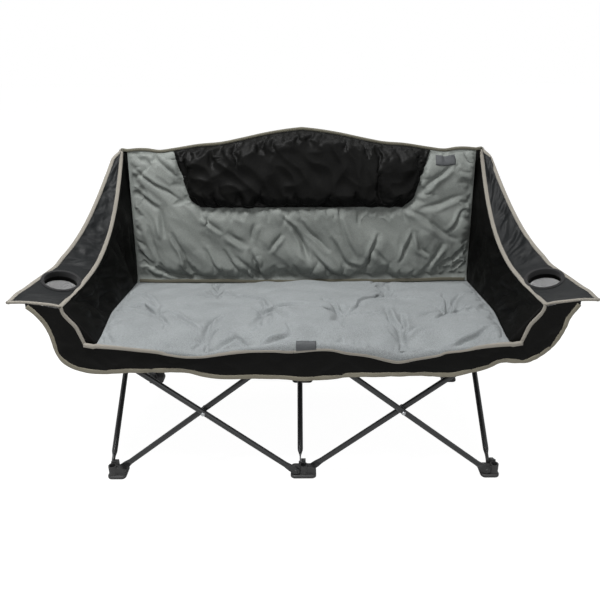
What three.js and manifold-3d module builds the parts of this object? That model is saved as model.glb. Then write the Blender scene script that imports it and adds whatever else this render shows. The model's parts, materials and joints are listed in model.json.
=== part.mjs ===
// Folding camping loveseat: a steel frame of scissor crosses that carries a padded two-person sling.
// Millimetres, +Z up, +X to the right as seen from the front, +Y to the rear.
// The origin is on the ground, under the socket of the front centre foot.
//
// Three feet stand in front and three behind. A cross of two tubes joins each foot to its neighbour, in
// front, behind and from front to rear. All tubes have the same length between their pins, so the crosses
// close together, and the six feet draw in to one bundle.

import * as THREE from 'three';
import { mergeVertices } from 'three/addons/utils/BufferGeometryUtils.js';
import Module from 'manifold-3d';

const wasm = await Module();
wasm.setup();

// Driving dimensions of the frame
const bayWidth = 550;
const pivotRise = 400;
const pivotHeight = 24;
const bayPivotInset = 22;
const sidePivotInset = 30;
const crossRun = bayWidth - 2 * bayPivotInset;
const frameDepth = crossRun + 2 * sidePivotInset;

const tubeRadius = 8;
const tubeWall = 1;
const tubeSides = 10;
const crossGap = 2;
const layerOffset = tubeRadius + crossGap / 2;
const armTubeReach = 194;

// Flattened tube ends
const flatThickness = 4;
const flatRadius = 11;
const flatReach = 16;
const neckLength = 24;
const flatSquareness = 5;

// Rivets and pins
const rivetRadius = 3;
const rivetClearance = 0.3;
const rivetHeadRadius = 6;
const rivetHeadHeight = 2.5;
const headTopShare = 0.6;
const washerRadius = 7;
const washerThickness = 1.2;
const rivetSides = 8;

const fitGap = 0.3;
const overrun = 5;
const mergeTolerance = 0.0001;
const shareStep = 0.001;
const parallelShare = 0.99;

// Moulded feet, hubs and sliders
const webRadius = 12;
const baseHeight = 12;
const baseMargin = 3;
const baseChamfer = 3;
const baseCorner = 9;
const socketOuterRadius = 12.5;
const socketFloor = 8;
const socketHeight = 40;
const socketClearance = 0.4;
const earHeight = 46;
const sliderOuterRadius = 12;
const sliderHalfHeight = 18;
const hubPlateRadius = 11;
const hubPlateThickness = 3;
const hubRootDrop = 6;
const mouldSides = 12;
const curveSegments = 2;

// Rear uprights and their caps
const sideUprightTop = 830;
const centreUprightTop = 896;
const capRadius = 9.4;
const capSkirt = 18;
const capCrown = 4;
const capClearance = 0.35;

// Seat: its cloth reaches a little past the outer tubes, and less at its front corners
const seatSideOverhang = 6;
const seatCornerInset = 16;
const seatHalfWidth = bayWidth + seatSideOverhang;
const seatFrontHalfWidth = bayWidth - seatCornerInset;
const seatFlareStartY = 22;
const seatFlareEndY = 75;
const seatLift = 18;
const seatFall = 37;
const slingFrontY = -18;
const slingFlatY = 46;
const slingRearInset = 82;
const slingThickness = 1.8;
const baySag = 24;
const rearSagShare = 0.15;
const padRearOverhang = 5;
const padShoulderY = -8;
const padThickness = 16;
const padCrown = 12;
const padEdge = 7;
const padEdgeRunY = 26;
const cornerPower = 6;
const layGap = 0.5;
const lipInnerY = -25.5;
const lipThickness = 10.5;
const lipBend = 3.5;
const lipDeepestDrop = 51;
const lipFoldInnerShare = 0.3;
const lipFoldOuterShare = 0.4;
const lipRollLowShare = 0.6;
const lipRollHighShare = 0.85;
const tuftDepth = 10;
const tuftRadius = 34;

// Quilting points as shares of the seat's half width and depth, on both sides of its middle
const tuftShares = [[0.7554, 0.3272], [0.4676, 0.6646], [0.1906, 0.2863], [0.4712, 0.0245]];

// How far the seat's front lip hangs below the sling's front edge, as a share of its deepest drop,
// by share of the front's half width
const lipDropShares = [
  [-1, 0.02], [-0.897, 0.118], [-0.801, 0.235], [-0.708, 0.353], [-0.655, 0.51],
  [-0.575, 0.647], [-0.493, 0.647], [-0.436, 0.569], [-0.313, 0.373], [-0.15, 0.333],
  [-0.064, 0.392], [0.071, 0.275], [0.14, 0.294], [0.208, 0.471], [0.318, 0.647],
  [0.444, 1], [0.485, 1], [0.552, 0.843], [0.659, 0.627], [0.693, 0.471],
  [0.781, 0.353], [0.852, 0.176], [0.938, 0.059], [1, 0.02],
];

// Back
const backRise = 4;
const backHeelRise = 27;
const backHeelInset = 54;
const backGap = 9.5;
const backShoulderRise = 5;
const backPeakRise = 74;
const backThickness = 22;
const backCrown = 14;
const backEdge = 9;
const liningThickness = 1.6;
const liningRise = 42;
const liningDrop = 3;
const headTopWidthShare = 0.7338;
const headBottomWidthShare = 0.6331;
const headHeight = 236;
const headTopDrop = 5;
const headThickness = 20;
const headEdge = 4;
const headCorner = 46;

// Height of the back's top edge above its shoulder, as a share of its peak, by share of the half width
const backTopShares = [
  [0, 1], [0.095, 0.919], [0.216, 0.77], [0.351, 0.554], [0.464, 0.392],
  [0.59, 0.311], [0.741, 0.135], [0.818, 0.068], [0.881, 0.135], [0.935, 0.149],
  [1, 0.108],
];

// Side panels and arm rests
const panelThickness = 2.4;
const panelOffset = 1.6;
const panelLift = 7;
const panelFrontY = -17;
const panelRearInset = 66;
const panelBulge = 10;
const panelRearPower = 5;
const panelDrawStartShare = 0.5;
const armFrontY = -18.6;
const armInnerFrontInset = 68.2;
const armInnerFrontRise = 1.7;
const armInnerRearReach = 21;
const armInnerRearInset = 10;
const armInnerRearRise = 8;
const armInnerSagPower = 3.3;
const armOuterFrontReach = 69.8;
const armOuterFrontRise = 23.7;
const armOuterRearReach = 36;
const armOuterBow = 8;
const armBowStartShare = 0.4;
const armOuterRearOverhang = 8;
const armOuterRearRise = 12;
const armOuterSagPower = 2.3;
const armThickness = 5;
const armSeam = 3.6;

// Cup holders
const cupAlongShare = 0.235;
const cupAcrossShare = 0.5;
const cupInnerRadius = 44;
const cupRimRadius = 52.5;
const cupCollarWall = 1.2;
const cupCollarDepth = 12;
const cupRimThickness = 2.6;
const cupClothWall = 1.4;
const cupDepth = 96;
const cupTaper = 2;
const cupSides = 20;
const cupFlatMargin = 14;
const cupBlend = 40;
const rimEdgeShare = 0.4;
const rimCrownShare = 0.6;

// Front valance
const valanceY = -23.6;
const valanceWingY = -20.4;
const valanceThickness = 2.2;
const valanceTipInset = 48;
const valanceWingInset = 12;
const valanceDrop = 4;
const hemDeepestDrop = 105;
const valanceFold = 5;
const valanceFoldCount = 7;
const valanceFoldRise = 40;
const valanceCoverGap = 2;
const valanceCoverShare = 0.8;
const valanceFreeShare = 0.4;

// How far the valance's hem hangs below the sling's front edge, as a share of its deepest drop,
// by share of the valance's half width. At its two ends it rises above that edge.
const hemDropShares = [
  [-1, -1], [-0.962, -0.752], [-0.929, -0.305], [-0.915, 0.2], [-0.876, 0.543],
  [-0.817, 0.724], [-0.751, 0.8], [-0.697, 0.781], [-0.591, 0.724], [-0.506, 0.743],
  [-0.433, 0.781], [-0.38, 0.876], [-0.275, 0.933], [-0.17, 0.952], [-0.05, 0.971],
  [0.019, 0.99], [0.135, 0.952], [0.172, 0.914], [0.246, 0.876], [0.427, 0.895],
  [0.548, 0.895], [0.611, 0.819], [0.688, 0.705], [0.738, 0.533], [0.795, 0.524],
  [0.845, 0.476], [0.922, 0.095], [0.953, -0.257], [0.968, -0.619], [1, -1],
];

// Fabric pockets over the tops of the uprights
const pocketHalfWidth = 12;
const pocketDepth = 20;
const pocketWall = 1.6;
const pocketHeight = 72;
const pocketRoof = 3;
const pocketCorner = 4;

// Derived levels and places
const upperPivotZ = pivotHeight + pivotRise;
const barLength = Math.hypot(crossRun, pivotRise);
const rearStationY = frameDepth;
const slingFrontZ = upperPivotZ + seatLift;
const slingRearZ = slingFrontZ - seatFall;
const slingRearY = rearStationY - slingRearInset;
const padRearY = slingRearY + padRearOverhang;
const hubTopZ = slingFrontZ - slingThickness / 2 - layGap;
const liningRearY = rearStationY - capRadius - layGap;
const padRearFaceY = liningRearY - liningThickness - layGap;
const backHalfWidth = seatHalfWidth;
const backBottomZ = slingRearZ + backRise;
const backBottomY = padRearY + backGap;
const backHeelZ = slingRearZ + backHeelRise;
const backHeelY = rearStationY - backHeelInset;
const backShoulderZ = sideUprightTop + backShoulderRise;
const liningBottomZ = slingRearZ + liningRise;
const panelRearBottomY = rearStationY - panelRearInset;
const armTubeShare = 1 + armTubeReach / barLength;
const armTipX = bayPivotInset + crossRun * armTubeShare;
const armTipZ = pivotHeight + pivotRise * armTubeShare;
const armInnerFrontX = armTipX - armInnerFrontInset;
const armInnerFrontZ = armTipZ + armInnerFrontRise;
const armInnerRearX = bayWidth + armInnerRearReach;
const armInnerRearY = rearStationY - armInnerRearInset;
const armInnerRearZ = sideUprightTop + armInnerRearRise;
const armOuterFrontX = armTipX + armOuterFrontReach;
const armOuterFrontZ = armTipZ + armOuterFrontRise;
const armOuterRearX = bayWidth + armOuterRearReach;
const armOuterRearY = rearStationY + armOuterRearOverhang;
const armOuterRearZ = sideUprightTop + armOuterRearRise;
const valanceTipX = armOuterFrontX - valanceTipInset;
const valanceWingX = armInnerFrontX - valanceWingInset;

// Materials
const colours = {
  tube: [0x26292b, 0.42, 0.75],
  rivet: [0x8b8f92, 0.35, 0.9],
  moulding: [0x161718, 0.55, 0],
  cloth: [0x17181a, 0.78, 0],
  seatCloth: [0x9aa0a4, 0.9, 0],
  backCloth: [0x7e8284, 0.88, 0],
  rim: [0x5c5b57, 0.7, 0],
};

function material(kind) {
  const [color, roughness, metalness] = colours[kind];
  return new THREE.MeshStandardMaterial({ color, roughness, metalness });
}

const loveseat = new THREE.Group();
loveseat.name = 'folding_camping_loveseat';

function place(name, geometry, kind) {
  const mesh = new THREE.Mesh(geometry, material(kind));
  mesh.name = name;
  loveseat.add(mesh);
  return mesh;
}

const lerp = THREE.MathUtils.lerp;
const smooth = (from, to, value) => THREE.MathUtils.smoothstep(value, from, to);

// Solids: closed meshes that can be joined and cut

function toSolid(geometry) {
  const bare = geometry.clone();
  bare.deleteAttribute('normal');
  bare.deleteAttribute('uv');
  const merged = mergeVertices(bare, mergeTolerance);
  const vertProperties = new Float32Array(merged.attributes.position.array);
  const triVerts = new Uint32Array(merged.index.array);
  return new wasm.Manifold(new wasm.Mesh({ numProp: 3, vertProperties, triVerts }));
}

function toGeometry(solid) {
  const mesh = solid.getMesh();
  const geometry = new THREE.BufferGeometry();
  geometry.setAttribute('position', new THREE.BufferAttribute(new Float32Array(mesh.vertProperties), 3));
  geometry.setIndex(new THREE.BufferAttribute(new Uint32Array(mesh.triVerts), 1));
  geometry.computeVertexNormals();
  return geometry;
}

const join = (solids) => solids.reduce((whole, solid) => whole.add(solid));
const cut = (solid, tools) => tools.reduce((left, tool) => left.subtract(tool), solid);

// A frame whose third axis points along a direction
function aimed(origin, direction, hint = new THREE.Vector3(0, 0, 1)) {
  const third = direction.clone().normalize();
  const side = Math.abs(third.dot(hint)) > parallelShare ? new THREE.Vector3(1, 0, 0) : hint;
  const first = new THREE.Vector3().crossVectors(side, third).normalize();
  const second = new THREE.Vector3().crossVectors(third, first);
  return new THREE.Matrix4().makeBasis(first, second, third).setPosition(origin);
}

function rod(radius, from, to, sides) {
  const span = new THREE.Vector3().subVectors(to, from);
  const geometry = new THREE.CylinderGeometry(radius, radius, span.length(), sides);
  geometry.rotateX(Math.PI / 2);
  geometry.translate(0, 0, span.length() / 2);
  geometry.applyMatrix4(aimed(from, span));
  return toSolid(geometry);
}

// A turned piece: the profile is [radius, height] pairs that start and end on the axis
function turned(profile, origin, direction, sides) {
  const points = profile.map(([radius, height]) => new THREE.Vector2(radius, height));
  const geometry = new THREE.LatheGeometry(points, sides);
  geometry.rotateX(Math.PI / 2);
  geometry.applyMatrix4(aimed(origin, direction));
  return toSolid(geometry);
}

// Evenly spaced shares from 0 to 1
const even = (count) => Array.from({ length: count + 1 }, (unused, k) => k / count);

// A solid between two surfaces given on a grid of shares, closed by a wall along its border
function between(across, along, upper, lower) {
  const positions = [];
  for (const surface of [upper, lower]) {
    for (const v of along) {
      for (const u of across) positions.push(...surface(u, v).toArray());
    }
  }
  const columns = across.length - 1;
  const rows = along.length - 1;
  const half = across.length * along.length;
  const at = (i, j) => j * across.length + i;
  const index = [];
  const quad = (a, b, c, d) => index.push(a, b, c, a, c, d);
  for (let j = 0; j < rows; j += 1) {
    for (let i = 0; i < columns; i += 1) {
      const corners = [at(i, j), at(i + 1, j), at(i + 1, j + 1), at(i, j + 1)];
      quad(...corners);
      quad(...corners.map((c) => c + half).reverse());
    }
  }
  for (let i = 0; i < columns; i += 1) {
    quad(at(i, 0) + half, at(i + 1, 0) + half, at(i + 1, 0), at(i, 0));
    quad(at(i, rows), at(i + 1, rows), at(i + 1, rows) + half, at(i, rows) + half);
  }
  for (let j = 0; j < rows; j += 1) {
    quad(at(0, j), at(0, j + 1), at(0, j + 1) + half, at(0, j) + half);
    quad(at(columns, j) + half, at(columns, j + 1) + half, at(columns, j + 1), at(columns, j));
  }
  const geometry = new THREE.BufferGeometry();
  geometry.setAttribute('position', new THREE.Float32BufferAttribute(positions, 3));
  geometry.setIndex(index);
  return outward(geometry);
}

// Turns a closed mesh so that its faces point out
function outward(geometry) {
  const p = geometry.attributes.position;
  const index = geometry.index.array;
  const [a, b, c] = [new THREE.Vector3(), new THREE.Vector3(), new THREE.Vector3()];
  let volume = 0;
  for (let k = 0; k < index.length; k += 3) {
    a.fromBufferAttribute(p, index[k]);
    b.fromBufferAttribute(p, index[k + 1]);
    c.fromBufferAttribute(p, index[k + 2]);
    volume += a.dot(b.cross(c));
  }
  if (volume < 0) {
    for (let k = 0; k < index.length; k += 3) {
      const first = index[k];
      index[k] = index[k + 1];
      index[k + 1] = first;
    }
  }
  geometry.computeVertexNormals();
  return geometry;
}

// The unit normal of a surface at a pair of shares
function normalOf(surface, u, v) {
  const [u0, u1] = [Math.max(u - shareStep, 0), Math.min(u + shareStep, 1)];
  const [v0, v1] = [Math.max(v - shareStep, 0), Math.min(v + shareStep, 1)];
  const alongU = new THREE.Vector3().subVectors(surface(u1, v), surface(u0, v));
  const alongV = new THREE.Vector3().subVectors(surface(u, v1), surface(u, v0));
  return alongU.cross(alongV).normalize();
}

// A sheet of even thickness about a middle surface
function sheet(across, along, middle, thickness) {
  const face = (offset) => (u, v) => middle(u, v).addScaledVector(normalOf(middle, u, v), offset);
  return between(across, along, face(thickness / 2), face(-thickness / 2));
}

// A smooth line through a table of [place, value] pairs
function through(table, place) {
  const last = table.length - 2;
  let k = 0;
  while (k < last && place > table[k + 1][0]) k += 1;
  const slope = (a, b) => (table[b][1] - table[a][1]) / (table[b][0] - table[a][0]);
  const run = table[k + 1][0] - table[k][0];
  const start = slope(Math.max(k - 1, 0), k + 1) * run;
  const end = slope(k, Math.min(k + 2, last + 1)) * run;
  const t = THREE.MathUtils.clamp((place - table[k][0]) / run, 0, 1);
  const [from, to] = [table[k][1], table[k + 1][1]];
  const bend = (start - (to - from)) * (1 - t) - (end - (to - from)) * t;
  return lerp(from, to, t) + t * (1 - t) * bend;
}

// Tubes of the crosses

// One ring of a tube: half width in the plane of the cross, half thickness across it
function tubeRing(frame, along, halfWidth, halfThickness, squareness) {
  const ring = [];
  for (let k = 0; k < tubeSides; k += 1) {
    const angle = (2 * Math.PI * k) / tubeSides;
    const [c, s] = [Math.cos(angle), Math.sin(angle)];
    const wide = Math.sign(c) * Math.abs(c) ** (2 / squareness) * halfWidth;
    const thick = Math.sign(s) * Math.abs(s) ** (2 / squareness) * halfThickness;
    ring.push(new THREE.Vector3(wide, thick, along).applyMatrix4(frame));
  }
  return ring;
}

function loft(rings) {
  const sides = rings[0].length;
  const positions = [];
  rings.forEach((ring) => ring.forEach((point) => positions.push(...point.toArray())));
  const index = [];
  for (let r = 0; r + 1 < rings.length; r += 1) {
    for (let k = 0; k < sides; k += 1) {
      const [a, b] = [r * sides + k, r * sides + ((k + 1) % sides)];
      index.push(a, b, b + sides, a, b + sides, a + sides);
    }
  }
  const last = (rings.length - 1) * sides;
  for (let k = 1; k + 1 < sides; k += 1) {
    index.push(0, k + 1, k);
    index.push(last, last + k, last + k + 1);
  }
  const geometry = new THREE.BufferGeometry();
  geometry.setAttribute('position', new THREE.Float32BufferAttribute(positions, 3));
  geometry.setIndex(index);
  return outward(geometry);
}

// The flattened, rounded end of a tube, as [distance from the pin, half width, half thickness, squareness]
function flatEnd() {
  const roundAngles = [20, 90].map(THREE.MathUtils.degToRad);
  const rounded = roundAngles.map((a) => [-flatRadius * Math.cos(a), flatRadius * Math.sin(a)]);
  const flat = [...rounded, [flatReach, flatRadius]];
  const stations = flat.map(([along, wide]) => [along, wide, flatThickness / 2, flatSquareness]);
  return [...stations, [flatReach + neckLength, tubeRadius, tubeRadius, 2]];
}

// A hollow tube between two pins, flattened at its ends, or carried on past the second pin as a round tube
function crossTube(from, to, across, reach = 0) {
  const section = aimed(from, new THREE.Vector3().subVectors(to, from), across);
  const near = flatEnd();
  const far = flatEnd().map(([along, ...rest]) => [barLength - along, ...rest]).reverse();
  const open = [[barLength + reach, tubeRadius, tubeRadius, 2]];
  const stations = [...near, ...(reach > 0 ? open : far)];
  const outer = toSolid(loft(stations.map((station) => tubeRing(section, ...station))));
  const boreStart = flatReach + neckLength;
  const boreEnd = reach > 0 ? barLength + reach + overrun : barLength - boreStart;
  const boreRadius = tubeRadius - tubeWall;
  const boreStations = [boreStart, boreEnd].map((along) => [along, boreRadius, boreRadius, 2]);
  const bore = toSolid(loft(boreStations.map((station) => tubeRing(section, ...station))));
  const direction = new THREE.Vector3().subVectors(to, from).normalize();
  const holes = [0, barLength / 2, barLength].map((along) => {
    const centre = from.clone().addScaledVector(direction, along);
    const halfHole = across.clone().multiplyScalar(tubeRadius + overrun);
    const radius = rivetRadius + rivetClearance;
    return rod(radius, centre.clone().sub(halfHole), centre.clone().add(halfHole), rivetSides);
  });
  return toGeometry(cut(outer, [bore, ...holes]));
}

// The rivet through a crossing, with a head on each side and a washer between the tubes
function crossRivet(centre, across) {
  const reach = layerOffset + tubeRadius + fitGap;
  const halfProfile = [
    [washerRadius, washerThickness / 2],
    [rivetRadius, washerThickness / 2],
    [rivetRadius, reach],
    [rivetHeadRadius, reach],
    [rivetHeadRadius * headTopShare, reach + rivetHeadHeight],
    [0, reach + rivetHeadHeight],
  ];
  const mirrored = halfProfile.map(([radius, height]) => [radius, -height]).reverse();
  return toGeometry(turned([...mirrored, ...halfProfile], centre, across, rivetSides));
}

// A pin that stands on a moulding's web, goes through a tube and ends in a head
function webPin(centre, direction, tubeHalfThickness) {
  const reach = layerOffset + tubeHalfThickness + fitGap;
  const profile = [
    [0, 0],
    [rivetRadius, 0],
    [rivetRadius, reach],
    [rivetHeadRadius, reach],
    [rivetHeadRadius * headTopShare, reach + rivetHeadHeight],
    [0, reach + rivetHeadHeight],
  ];
  return turned(profile, centre, direction, rivetSides);
}

// Mouldings

const socketRadius = tubeRadius + socketClearance;
const socketRoot = (socketRadius + sliderOuterRadius) / 2;
const flatWebHalf = layerOffset - flatThickness / 2 - fitGap;
const roundWebHalf = layerOffset - tubeRadius - fitGap;

// A plate that runs from the post to just past a pin, rounded about the pin, in the plane of a cross.
// outwards is the way from post to pin, across the direction of the pin, and low the plate's lower edge.
// The plate starts at root from the post's axis, where its upper edge is at high.
function web(post, outwards, across, { inset, root, low, high }, nearFace, farFace) {
  const outline = new THREE.Shape();
  outline.moveTo(root, low);
  outline.lineTo(inset + webRadius, low);
  outline.lineTo(inset + webRadius, 0);
  outline.absarc(inset, 0, webRadius, 0, Math.PI / 2, false);
  outline.lineTo(root, high);
  const depth = farFace - nearFace;
  const geometry = new THREE.ExtrudeGeometry(outline, { depth, bevelEnabled: false, curveSegments });
  geometry.translate(0, 0, nearFace);
  const up = new THREE.Vector3(0, 0, 1);
  const frame = new THREE.Matrix4().makeBasis(outwards, up, across).setPosition(post);
  geometry.applyMatrix4(frame);
  if (frame.determinant() < 0) outwardIndex(geometry);
  return toSolid(geometry);
}

// Swaps two corners of each face after a mirrored placement
function outwardIndex(geometry) {
  const p = geometry.attributes.position;
  const swap = new THREE.Vector3();
  const other = new THREE.Vector3();
  for (let k = 0; k < p.count; k += 3) {
    swap.fromBufferAttribute(p, k);
    other.fromBufferAttribute(p, k + 1);
    p.setXYZ(k, ...other.toArray());
    p.setXYZ(k + 1, ...swap.toArray());
  }
}

const axisX = new THREE.Vector3(1, 0, 0);
const axisY = new THREE.Vector3(0, 1, 0);
const axisZ = new THREE.Vector3(0, 0, 1);

// The webs and pins of a moulding whose pins are at the height of its post's origin.
// bays lists the crosses in X as { side, layer, round }, and run gives the cross in Y.
function websAndPins(post, bays, run, root, low, high) {
  const solids = bays.flatMap(({ side, layer, round }) => {
    const half = round ? roundWebHalf : flatWebHalf;
    const faces = layer > 0 ? [-flatWebHalf, half] : [-half, flatWebHalf];
    const centre = post.clone().addScaledVector(axisX, side * bayPivotInset);
    const direction = axisY.clone().multiplyScalar(layer);
    const size = { inset: bayPivotInset, root, low, high };
    const plate = web(post, axisX.clone().multiplyScalar(side), axisY, size, ...faces);
    return [plate, webPin(centre, direction, round ? tubeRadius : flatThickness / 2)];
  });
  const outwards = axisY.clone().multiplyScalar(run.toward);
  const centre = post.clone().addScaledVector(outwards, sidePivotInset);
  const direction = axisX.clone().multiplyScalar(run.layer);
  const size = { inset: sidePivotInset, root, low, high: run.high };
  solids.push(web(post, outwards, axisX, size, -flatWebHalf, flatWebHalf));
  solids.push(webPin(centre, direction, flatThickness / 2));
  return solids;
}

// The foot's sole, with chamfered edges, under its webs and socket
function sole(post, bays, toward) {
  const reach = bayPivotInset + webRadius + baseMargin;
  const socketReach = socketOuterRadius + baseMargin;
  const sides = bays.map(({ side }) => side);
  const left = sides.includes(-1) ? reach : socketReach;
  const right = sides.includes(1) ? reach : socketReach;
  const far = sidePivotInset + webRadius + baseMargin;
  const [front, rear] = toward > 0 ? [socketReach, far] : [far, socketReach];
  const [x0, x1] = [-left + baseChamfer, right - baseChamfer];
  const [y0, y1] = [-front + baseChamfer, rear - baseChamfer];
  const outline = new THREE.Shape();
  outline.moveTo(x0 + baseCorner, y0);
  outline.lineTo(x1 - baseCorner, y0);
  outline.absarc(x1 - baseCorner, y0 + baseCorner, baseCorner, -Math.PI / 2, 0, false);
  outline.lineTo(x1, y1 - baseCorner);
  outline.absarc(x1 - baseCorner, y1 - baseCorner, baseCorner, 0, Math.PI / 2, false);
  outline.lineTo(x0 + baseCorner, y1);
  outline.absarc(x0 + baseCorner, y1 - baseCorner, baseCorner, Math.PI / 2, Math.PI, false);
  outline.lineTo(x0, y0 + baseCorner);
  outline.absarc(x0 + baseCorner, y0 + baseCorner, baseCorner, Math.PI, 1.5 * Math.PI, false);
  const bevelSizes = { bevelThickness: baseChamfer, bevelSize: baseChamfer };
  const bevel = { bevelEnabled: true, bevelSegments: 1, ...bevelSizes };
  const depth = baseHeight - 2 * baseChamfer;
  const geometry = new THREE.ExtrudeGeometry(outline, { depth, curveSegments, ...bevel });
  geometry.translate(post.x, post.y, baseChamfer);
  return toSolid(geometry);
}

function foot(x, y, bays, toward) {
  const post = new THREE.Vector3(x, y, pivotHeight);
  const layer = toward > 0 ? -1 : 1;
  const run = { toward, layer, high: earHeight - pivotHeight };
  const middle = post.clone().setZ(baseHeight / 2);
  const floor = post.clone().setZ(socketFloor);
  const mouth = post.clone().setZ(socketHeight);
  const past = post.clone().setZ(earHeight + overrun);
  const solids = [
    sole(post, bays, toward),
    ...websAndPins(post, bays, run, socketRoot, baseHeight / 2 - pivotHeight, webRadius),
    rod(socketOuterRadius, middle, mouth, mouldSides),
  ];
  return toGeometry(cut(join(solids), [rod(socketRadius, floor, past, mouldSides)]));
}

function hub(x, bays) {
  const post = new THREE.Vector3(x, 0, upperPivotZ);
  const run = { toward: 1, layer: 1, high: -hubRootDrop };
  const stem = post.clone().setY(sidePivotInset);
  const plateLow = stem.clone().setZ(hubTopZ - hubPlateThickness);
  const plateHigh = stem.clone().setZ(hubTopZ);
  const solids = [
    ...websAndPins(post, bays, run, 0, -webRadius, webRadius / 2),
    rod(flatWebHalf, stem, plateHigh, mouldSides),
    rod(hubPlateRadius, plateLow, plateHigh, mouldSides),
  ];
  return toGeometry(join(solids));
}

function slider(x, bays) {
  const post = new THREE.Vector3(x, rearStationY, upperPivotZ);
  const run = { toward: -1, layer: -1, high: webRadius };
  const low = post.clone().setZ(upperPivotZ - sliderHalfHeight);
  const high = post.clone().setZ(upperPivotZ + sliderHalfHeight);
  const solids = [
    ...websAndPins(post, bays, run, socketRoot, -webRadius, webRadius),
    rod(sliderOuterRadius, low, high, mouldSides),
  ];
  const past = new THREE.Vector3(0, 0, overrun);
  const bore = rod(socketRadius, low.clone().sub(past), high.clone().add(past), mouldSides);
  return toGeometry(cut(join(solids), [bore]));
}

// A rear upright: a straight tube that stands in its foot's socket and runs through its slider
function upright(x, top) {
  const low = new THREE.Vector3(x, rearStationY, socketFloor + fitGap);
  const high = low.clone().setZ(top);
  const past = new THREE.Vector3(0, 0, overrun);
  const outer = rod(tubeRadius, low, high, tubeSides);
  const bore = rod(tubeRadius - tubeWall, low.clone().sub(past), high.clone().add(past), tubeSides);
  return toGeometry(cut(outer, [bore]));
}

// A moulded cap over a tube's end, at the given end point and direction
function endCap(end, direction) {
  const inner = tubeRadius + capClearance;
  const profile = [
    [inner, -capSkirt],
    [capRadius, -capSkirt],
    [capRadius, capCrown / 2],
    [capRadius / 2, capCrown],
    [0, capCrown],
    [0, fitGap],
    [inner, fitGap],
    [inner, -capSkirt],
  ];
  return toGeometry(turned(profile, end, direction, tubeSides));
}

// The stations of the frame, and the bays that each foot and each upper moulding serves.
// A falling tube runs from upper left to lower right and lies in the front layer of its cross,
// and a rising tube in the rear layer.
const stations = [
  { name: 'left', x: -bayWidth, lower: [{ side: 1, layer: 1 }], upper: [{ side: 1, layer: -1 }] },
  {
    name: 'centre',
    x: 0,
    lower: [{ side: -1, layer: -1 }, { side: 1, layer: 1 }],
    upper: [{ side: -1, layer: 1 }, { side: 1, layer: -1 }],
  },
  { name: 'right', x: bayWidth, lower: [{ side: -1, layer: -1 }], upper: [{ side: -1, layer: 1 }] },
];

for (const { name, x, lower, upper } of stations) {
  const outer = name !== 'centre';
  place(`front_${name}_foot`, foot(x, 0, lower, 1), 'moulding');
  place(`rear_${name}_foot`, foot(x, rearStationY, lower, -1), 'moulding');
  place(`front_${name}_hub`, hub(x, upper.map((bay) => ({ ...bay, round: outer }))), 'moulding');
  place(`rear_${name}_slider`, slider(x, upper), 'moulding');

  const top = outer ? sideUprightTop : centreUprightTop;
  place(`${name}_upright`, upright(x, top), 'tube');
  place(`${name}_upright_cap`, endCap(new THREE.Vector3(x, rearStationY, top), axisZ), 'moulding');

  const [front, rear] = [sidePivotInset, rearStationY - sidePivotInset];
  const back = x - layerOffset;
  const fore = x + layerOffset;
  const [rearwardFoot, rearwardTop] = [[front, pivotHeight], [rear, upperPivotZ]];
  const [forwardFoot, forwardTop] = [[rear, pivotHeight], [front, upperPivotZ]];
  const rearward = [rearwardFoot, rearwardTop].map((point) => new THREE.Vector3(back, ...point));
  const forward = [forwardFoot, forwardTop].map((point) => new THREE.Vector3(fore, ...point));
  place(`${name}_side_tube_rearward`, crossTube(...rearward, axisX), 'tube');
  place(`${name}_side_tube_forward`, crossTube(...forward, axisX), 'tube');
  const middle = new THREE.Vector3(x, rearStationY / 2, pivotHeight + pivotRise / 2);
  place(`${name}_side_rivet`, crossRivet(middle, axisX), 'rivet');
}

const bays = [
  { name: 'left', x0: -bayWidth },
  { name: 'right', x0: 0 },
];

for (const { name, x0 } of bays) {
  const [low, high] = [x0 + bayPivotInset, x0 + bayWidth - bayPivotInset];
  for (const [face, y] of [['front', 0], ['rear', rearStationY]]) {
    const [near, far] = [y - layerOffset, y + layerOffset];
    const falling = [new THREE.Vector3(high, near, pivotHeight), new THREE.Vector3(low, near, upperPivotZ)];
    const rising = [new THREE.Vector3(low, far, pivotHeight), new THREE.Vector3(high, far, upperPivotZ)];
    const fallingArm = face === 'front' && name === 'left';
    const risingArm = face === 'front' && name === 'right';
    const fallingName = fallingArm ? 'left_arm_tube' : `${face}_${name}_falling_tube`;
    const risingName = risingArm ? 'right_arm_tube' : `${face}_${name}_rising_tube`;
    place(fallingName, crossTube(...falling, axisY, fallingArm ? armTubeReach : 0), 'tube');
    place(risingName, crossTube(...rising, axisY, risingArm ? armTubeReach : 0), 'tube');
    const middle = new THREE.Vector3((low + high) / 2, y, pivotHeight + pivotRise / 2);
    place(`${face}_${name}_rivet`, crossRivet(middle, axisY), 'rivet');
  }
}

// The arm tubes' ends, beyond the outer hubs
const armDirection = new THREE.Vector3(crossRun, 0, pivotRise).normalize();

function armLine(side) {
  const start = new THREE.Vector3(side * bayPivotInset, side * layerOffset, pivotHeight);
  const direction = armDirection.clone();
  direction.x *= side;
  return { start, direction };
}

for (const [name, side] of [['left', -1], ['right', 1]]) {
  const { start, direction } = armLine(side);
  const end = start.clone().addScaledVector(direction, barLength + armTubeReach);
  place(`${name}_arm_tube_cap`, endCap(end, direction), 'moulding');
}

// Seat: a sling on the hubs, and a padded cover that rolls over its front edge

const seatHalf = (y) => lerp(seatFrontHalfWidth, seatHalfWidth, smooth(seatFlareStartY, seatFlareEndY, y));

function slingZ(x, y) {
  const fall = THREE.MathUtils.clamp((y - slingFlatY) / (slingRearY - slingFlatY), 0, 1);
  const sag = baySag * lerp(1, rearSagShare, fall);
  return lerp(slingFrontZ, slingRearZ, fall) - sag * Math.sin((Math.PI * x) / bayWidth) ** 2;
}

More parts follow.
